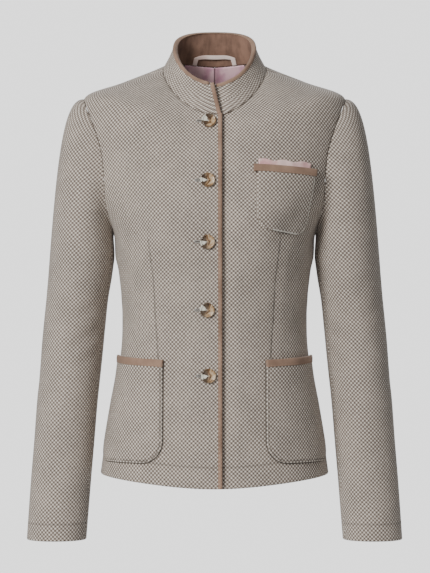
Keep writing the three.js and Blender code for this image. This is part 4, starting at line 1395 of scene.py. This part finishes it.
# how far each step of the rim rises, and how much narrower it is: shoulder, round and top
RIM_STEPS = [(0.0014, 0.971), (0.0006, 0.955), (0.0002, 0.955)]
RIM_INSIDE = (-0.0010, 0.92)
# how wide each inset of the face is, and how far it drops: the rim's top and the dished middle
RIM_TOP, DISH = (0.0007, -0.0002), (0.0030, -0.0003)
SOFT_EDGE = 0.00018


def choose(piece):
    bpy.ops.object.select_all(action="DESELECT")
    piece.select_set(True)
    bpy.context.view_layer.objects.active = piece


def edit(piece):
    """Makes one piece active with nothing selected in its mesh, and leaves it in object mode."""
    choose(piece)
    bpy.ops.object.mode_set(mode="EDIT")
    bpy.ops.mesh.select_all(action="DESELECT")
    bpy.ops.object.mode_set(mode="OBJECT")


def pick(piece, wanted):
    """Selects the faces for which wanted(centre, normal) holds, and stays in edit mode."""
    bpy.ops.object.mode_set(mode="OBJECT")
    for polygon in piece.data.polygons:
        polygon.select = bool(wanted(polygon.center, polygon.normal))
    bpy.ops.object.mode_set(mode="EDIT")
    bpy.ops.mesh.select_mode(type="FACE")


def narrow(share):
    bpy.ops.transform.resize(value=(share, share, 1))


def extrude_up(rise, share):
    bpy.ops.mesh.extrude_region_move(TRANSFORM_OT_translate={"value": (0, 0, rise)})
    narrow(share)


def inset(width, drop):
    bpy.ops.mesh.inset(thickness=width, depth=drop)


def apply_modifier(piece, kind, **settings):
    modifier = piece.modifiers.new(kind.lower(), kind)
    for name, value in settings.items():
        setattr(modifier, name, value)
    bpy.context.view_layer.objects.active = piece
    bpy.ops.object.modifier_apply(modifier=modifier.name)


bpy.ops.mesh.primitive_cylinder_add(
    vertices=48, radius=BUTTON_RADIUS, depth=BUTTON_WIDEST, location=(0, 0, BUTTON_WIDEST / 2)
)
button = bpy.context.object
bpy.ops.object.transform_apply(location=True, rotation=True, scale=True)
edit(button)
pick(button, lambda centre, normal: normal.z < -0.9)
narrow(BUTTON_FOOT / BUTTON_RADIUS)
pick(button, lambda centre, normal: normal.z > 0.9)
for rise, share in RIM_STEPS:
    extrude_up(rise, share)
inset(*RIM_TOP)
extrude_up(*RIM_INSIDE)
inset(*DISH)
bpy.ops.object.mode_set(mode="OBJECT")
softening = dict(width=SOFT_EDGE, segments=2, limit_method="ANGLE", angle_limit=math.radians(20))
apply_modifier(button, "BEVEL", **softening)
print("button before drilling:", len(button.data.polygons), "faces")

# %% Drilling the four holes
for i, j in ((-1, -1), (-1, 1), (1, -1), (1, 1)):
    bpy.ops.mesh.primitive_cylinder_add(
        vertices=20, radius=HOLE_RADIUS, depth=4 * BUTTON_TOP, location=(i * HOLE_OUT, j * HOLE_OUT, 0)
    )
    drill = bpy.context.object
    apply_modifier(button, "BOOLEAN", object=drill, operation="DIFFERENCE", solver="EXACT")
    bpy.data.objects.remove(drill)
print("button after drilling:", len(button.data.polygons), "faces")

# %% [markdown]
# Thread holds each button through its holes. A stitch is a round primitive drawn out long and thin. It is
# made once, and its points are then copied wherever thread shows.

# %% One stitch, and rows of them
STITCH_FLATNESS = 0.8

bpy.ops.mesh.primitive_uv_sphere_add(segments=8, ring_count=5, radius=0.5, location=(0, 0, 0))
stitch_shape = bpy.context.object
bpy.ops.object.mode_set(mode="EDIT")
bpy.ops.mesh.select_all(action="SELECT")
bpy.ops.transform.resize(value=(1, 1, STITCH_FLATNESS))
bpy.ops.object.mode_set(mode="OBJECT")
STITCH_POINTS = np.array([v.co for v in stitch_shape.data.vertices])
STITCH_FACES = [list(p.vertices) for p in stitch_shape.data.polygons]
bpy.data.objects.remove(stitch_shape)


def add_stitches(name, places, along, normals, length, thick, material):
    """Copies of the stitch in one mesh, each lying along its own line."""
    along = unit(along)
    side = unit(np.cross(normals, along))
    axes = (along, length), (side, thick), (np.cross(along, side), thick)
    points = places[:, None]
    for k, (axis, size) in enumerate(axes):
        points = points + STITCH_POINTS[None, :, k, None] * axis[:, None] * size
    count = len(STITCH_POINTS)
    faces = [[v + k * count for v in face] for k in range(len(places)) for face in STITCH_FACES]
    finish_piece(new_object(name, smooth_mesh(name, points.reshape(-1, 3), faces, material)), None)
    print(name, len(places), "stitches")


def stitch_binding(name, frames, width, spacing=0.0034, length=0.0025, thick=0.0006):
    """A row of stitches on the outer leg of a binding."""
    at = np.arange(spacing, edge_length(frames) - spacing / 2, spacing)
    spots, ahead = frames_at(frames, at), frames_at(frames, at + spacing / 4)
    line = STITCH_LINE * width / BINDING_WIDTH
    places = strip_layer(spots, line, LEG[3, 1], False)
    along = strip_layer(ahead, line, LEG[3, 1], False) - places
    add_stitches(name, places, along, spots["normal"], length, thick, THREAD_TAN)


stitch_binding("front_stitches", front_frames, FRONT_WIDTH)
stitch_binding("collar_stitches", collar_frames, COLLAR_WIDTH)
for node, frames in MOUTHS.items():
    stitch_binding(node.replace("binding", "stitches"), frames, POCKET_BINDING)

# %% [markdown]
# ## Placing the buttons and their holes in the cloth
# A buttonhole is a slit with thread worked round it. It runs level from under the button away from the
# front edge, so its far end shows. The ring of thread starts as a torus, drawn out to the length of the
# slit, and is then laid on the curved front. The slit itself is a thin near-black sheet inside the ring,
# painted shade of the opening.

# %% Buttons on the front
BUTTON_AT = millimetres([[-8.2, -78], [-9.6, -163], [-10, -249], [-10, -345], [-8, -438]])
# how far the streaks and the painted highlight are turned on each button, and how wide the highlight's pale
# wedge is
HORN_TURNS_AND_GLINTS = [(3.7, 0.085), (3.2, 0.06), (2.9, 0.07), (3.5, 0.08), (3.0, 0.07)]
SMOOTH_UP_TO = math.radians(32)
THREAD_UP, THREAD_LENGTH, THREAD_THICK = 0.0027, 0.0046, 0.0009


def seat_of(x, z, lift):
    angle, station = body_spot(np.array([x]), np.array([z]))
    point = lifted(body_skin, angle, station, lap_lift(x) + lift)[0]
    return Vector(point), Vector(normal_at(body_skin, angle, station)[0])


for k, (x, z) in enumerate(BUTTON_AT):
    seat, normal = seat_of(x, z, SEAM)
    stand = Vector((0, 0, 1)).rotation_difference(normal).to_matrix().to_4x4()
    shape = button.data.copy()
    shape.transform(Matrix.Translation(seat) @ stand)
    shape.materials.clear()
    shape.materials.append(horn_for(f"horn_{k + 1}", seat, *HORN_TURNS_AND_GLINTS[k]))
    placed = new_object(f"horn_button_{k + 1}", shape)
    choose(placed)
    bpy.ops.object.shade_smooth_by_angle(angle=SMOOTH_UP_TO)
    finish_piece(placed, f"button_{k + 1}")
    out = np.array(normal)
    level = unit(np.cross([0, 0, 1], out))
    middle, upright = np.array(seat) + out * THREAD_UP, np.cross(out, level)
    bars = np.array([middle + upright * s * HOLE_OUT for s in (-1, 1)])
    levels, outs = np.array([level, level]), np.array([out, out])
    name = f"button_thread_{k + 1}"
    add_stitches(name, bars, levels, outs, THREAD_LENGTH, THREAD_THICK, THREAD_TAN)
bpy.data.objects.remove(button)

# %% Buttonholes
HOLE_LENGTH, HOLE_END, HOLE_THREAD, SLIT_UP = 0.0155, 0.0013, 0.0010, 0.0002
BUTTON_TO_HOLE = 0.0010


def lay_on_front(piece, x, z):
    """Bends a flat piece, drawn in X and Y with its height in Z, onto the right front."""
    flat = np.array([v.co for v in piece.data.vertices])
    angle, station = body_spot(x + flat[:, 0], z + flat[:, 1])
    points = lifted(body_skin, angle, station, lap_lift(x + flat[:, 0]) + flat[:, 2])
    for vertex, point in zip(piece.data.vertices, points):
        vertex.co = point


bpy.ops.mesh.primitive_torus_add(
    major_segments=28, minor_segments=8, major_radius=HOLE_END, minor_radius=HOLE_THREAD, location=(0, 0, 0)
)
worked = bpy.context.object
edit(worked)
pick(worked, lambda centre, normal: centre.x > 0)
bpy.ops.transform.translate(value=(HOLE_LENGTH, 0, 0))
for share in (0.25, 0.5, 0.75):
    bpy.ops.mesh.select_all(action="SELECT")
    bpy.ops.mesh.bisect(plane_co=(HOLE_LENGTH * share, 0, 0), plane_no=(1, 0, 0))
bpy.ops.object.mode_set(mode="OBJECT")
bpy.ops.mesh.primitive_circle_add(vertices=28, radius=HOLE_END, fill_type="NGON", location=(0, 0, SLIT_UP))
slit = bpy.context.object
bpy.ops.object.transform_apply(location=True, rotation=True, scale=True)
edit(slit)
pick(slit, lambda centre, normal: True)
bpy.ops.mesh.extrude_region_move(TRANSFORM_OT_translate={"value": (0, 0, SLIT_UP)})
bpy.ops.object.mode_set(mode="OBJECT")
for vertex in slit.data.vertices:
    vertex.co.x += HOLE_LENGTH if vertex.co.x > 0 else 0
print("buttonhole:", len(worked.data.polygons), "faces, slit:", len(slit.data.polygons))

# the slit is a near-black sheet: painted shade in the buttonhole's opening
HOLE_PARTS = [("buttonhole", worked, THREAD_GREY), ("buttonhole_slit", slit, SLIT_SHADE)]
for k, (x, z) in enumerate(BUTTON_AT):
    for name, source, material in HOLE_PARTS:
        laid = new_object(f"{name}_{k + 1}", source.data.copy())
        lay_on_front(laid, x - HOLE_LENGTH - BUTTON_TO_HOLE, z)
        laid.data.materials.clear()
        laid.data.materials.append(material)
        laid.data.shade_smooth()
        finish_piece(laid, None)
bpy.data.objects.remove(worked)
bpy.data.objects.remove(slit)
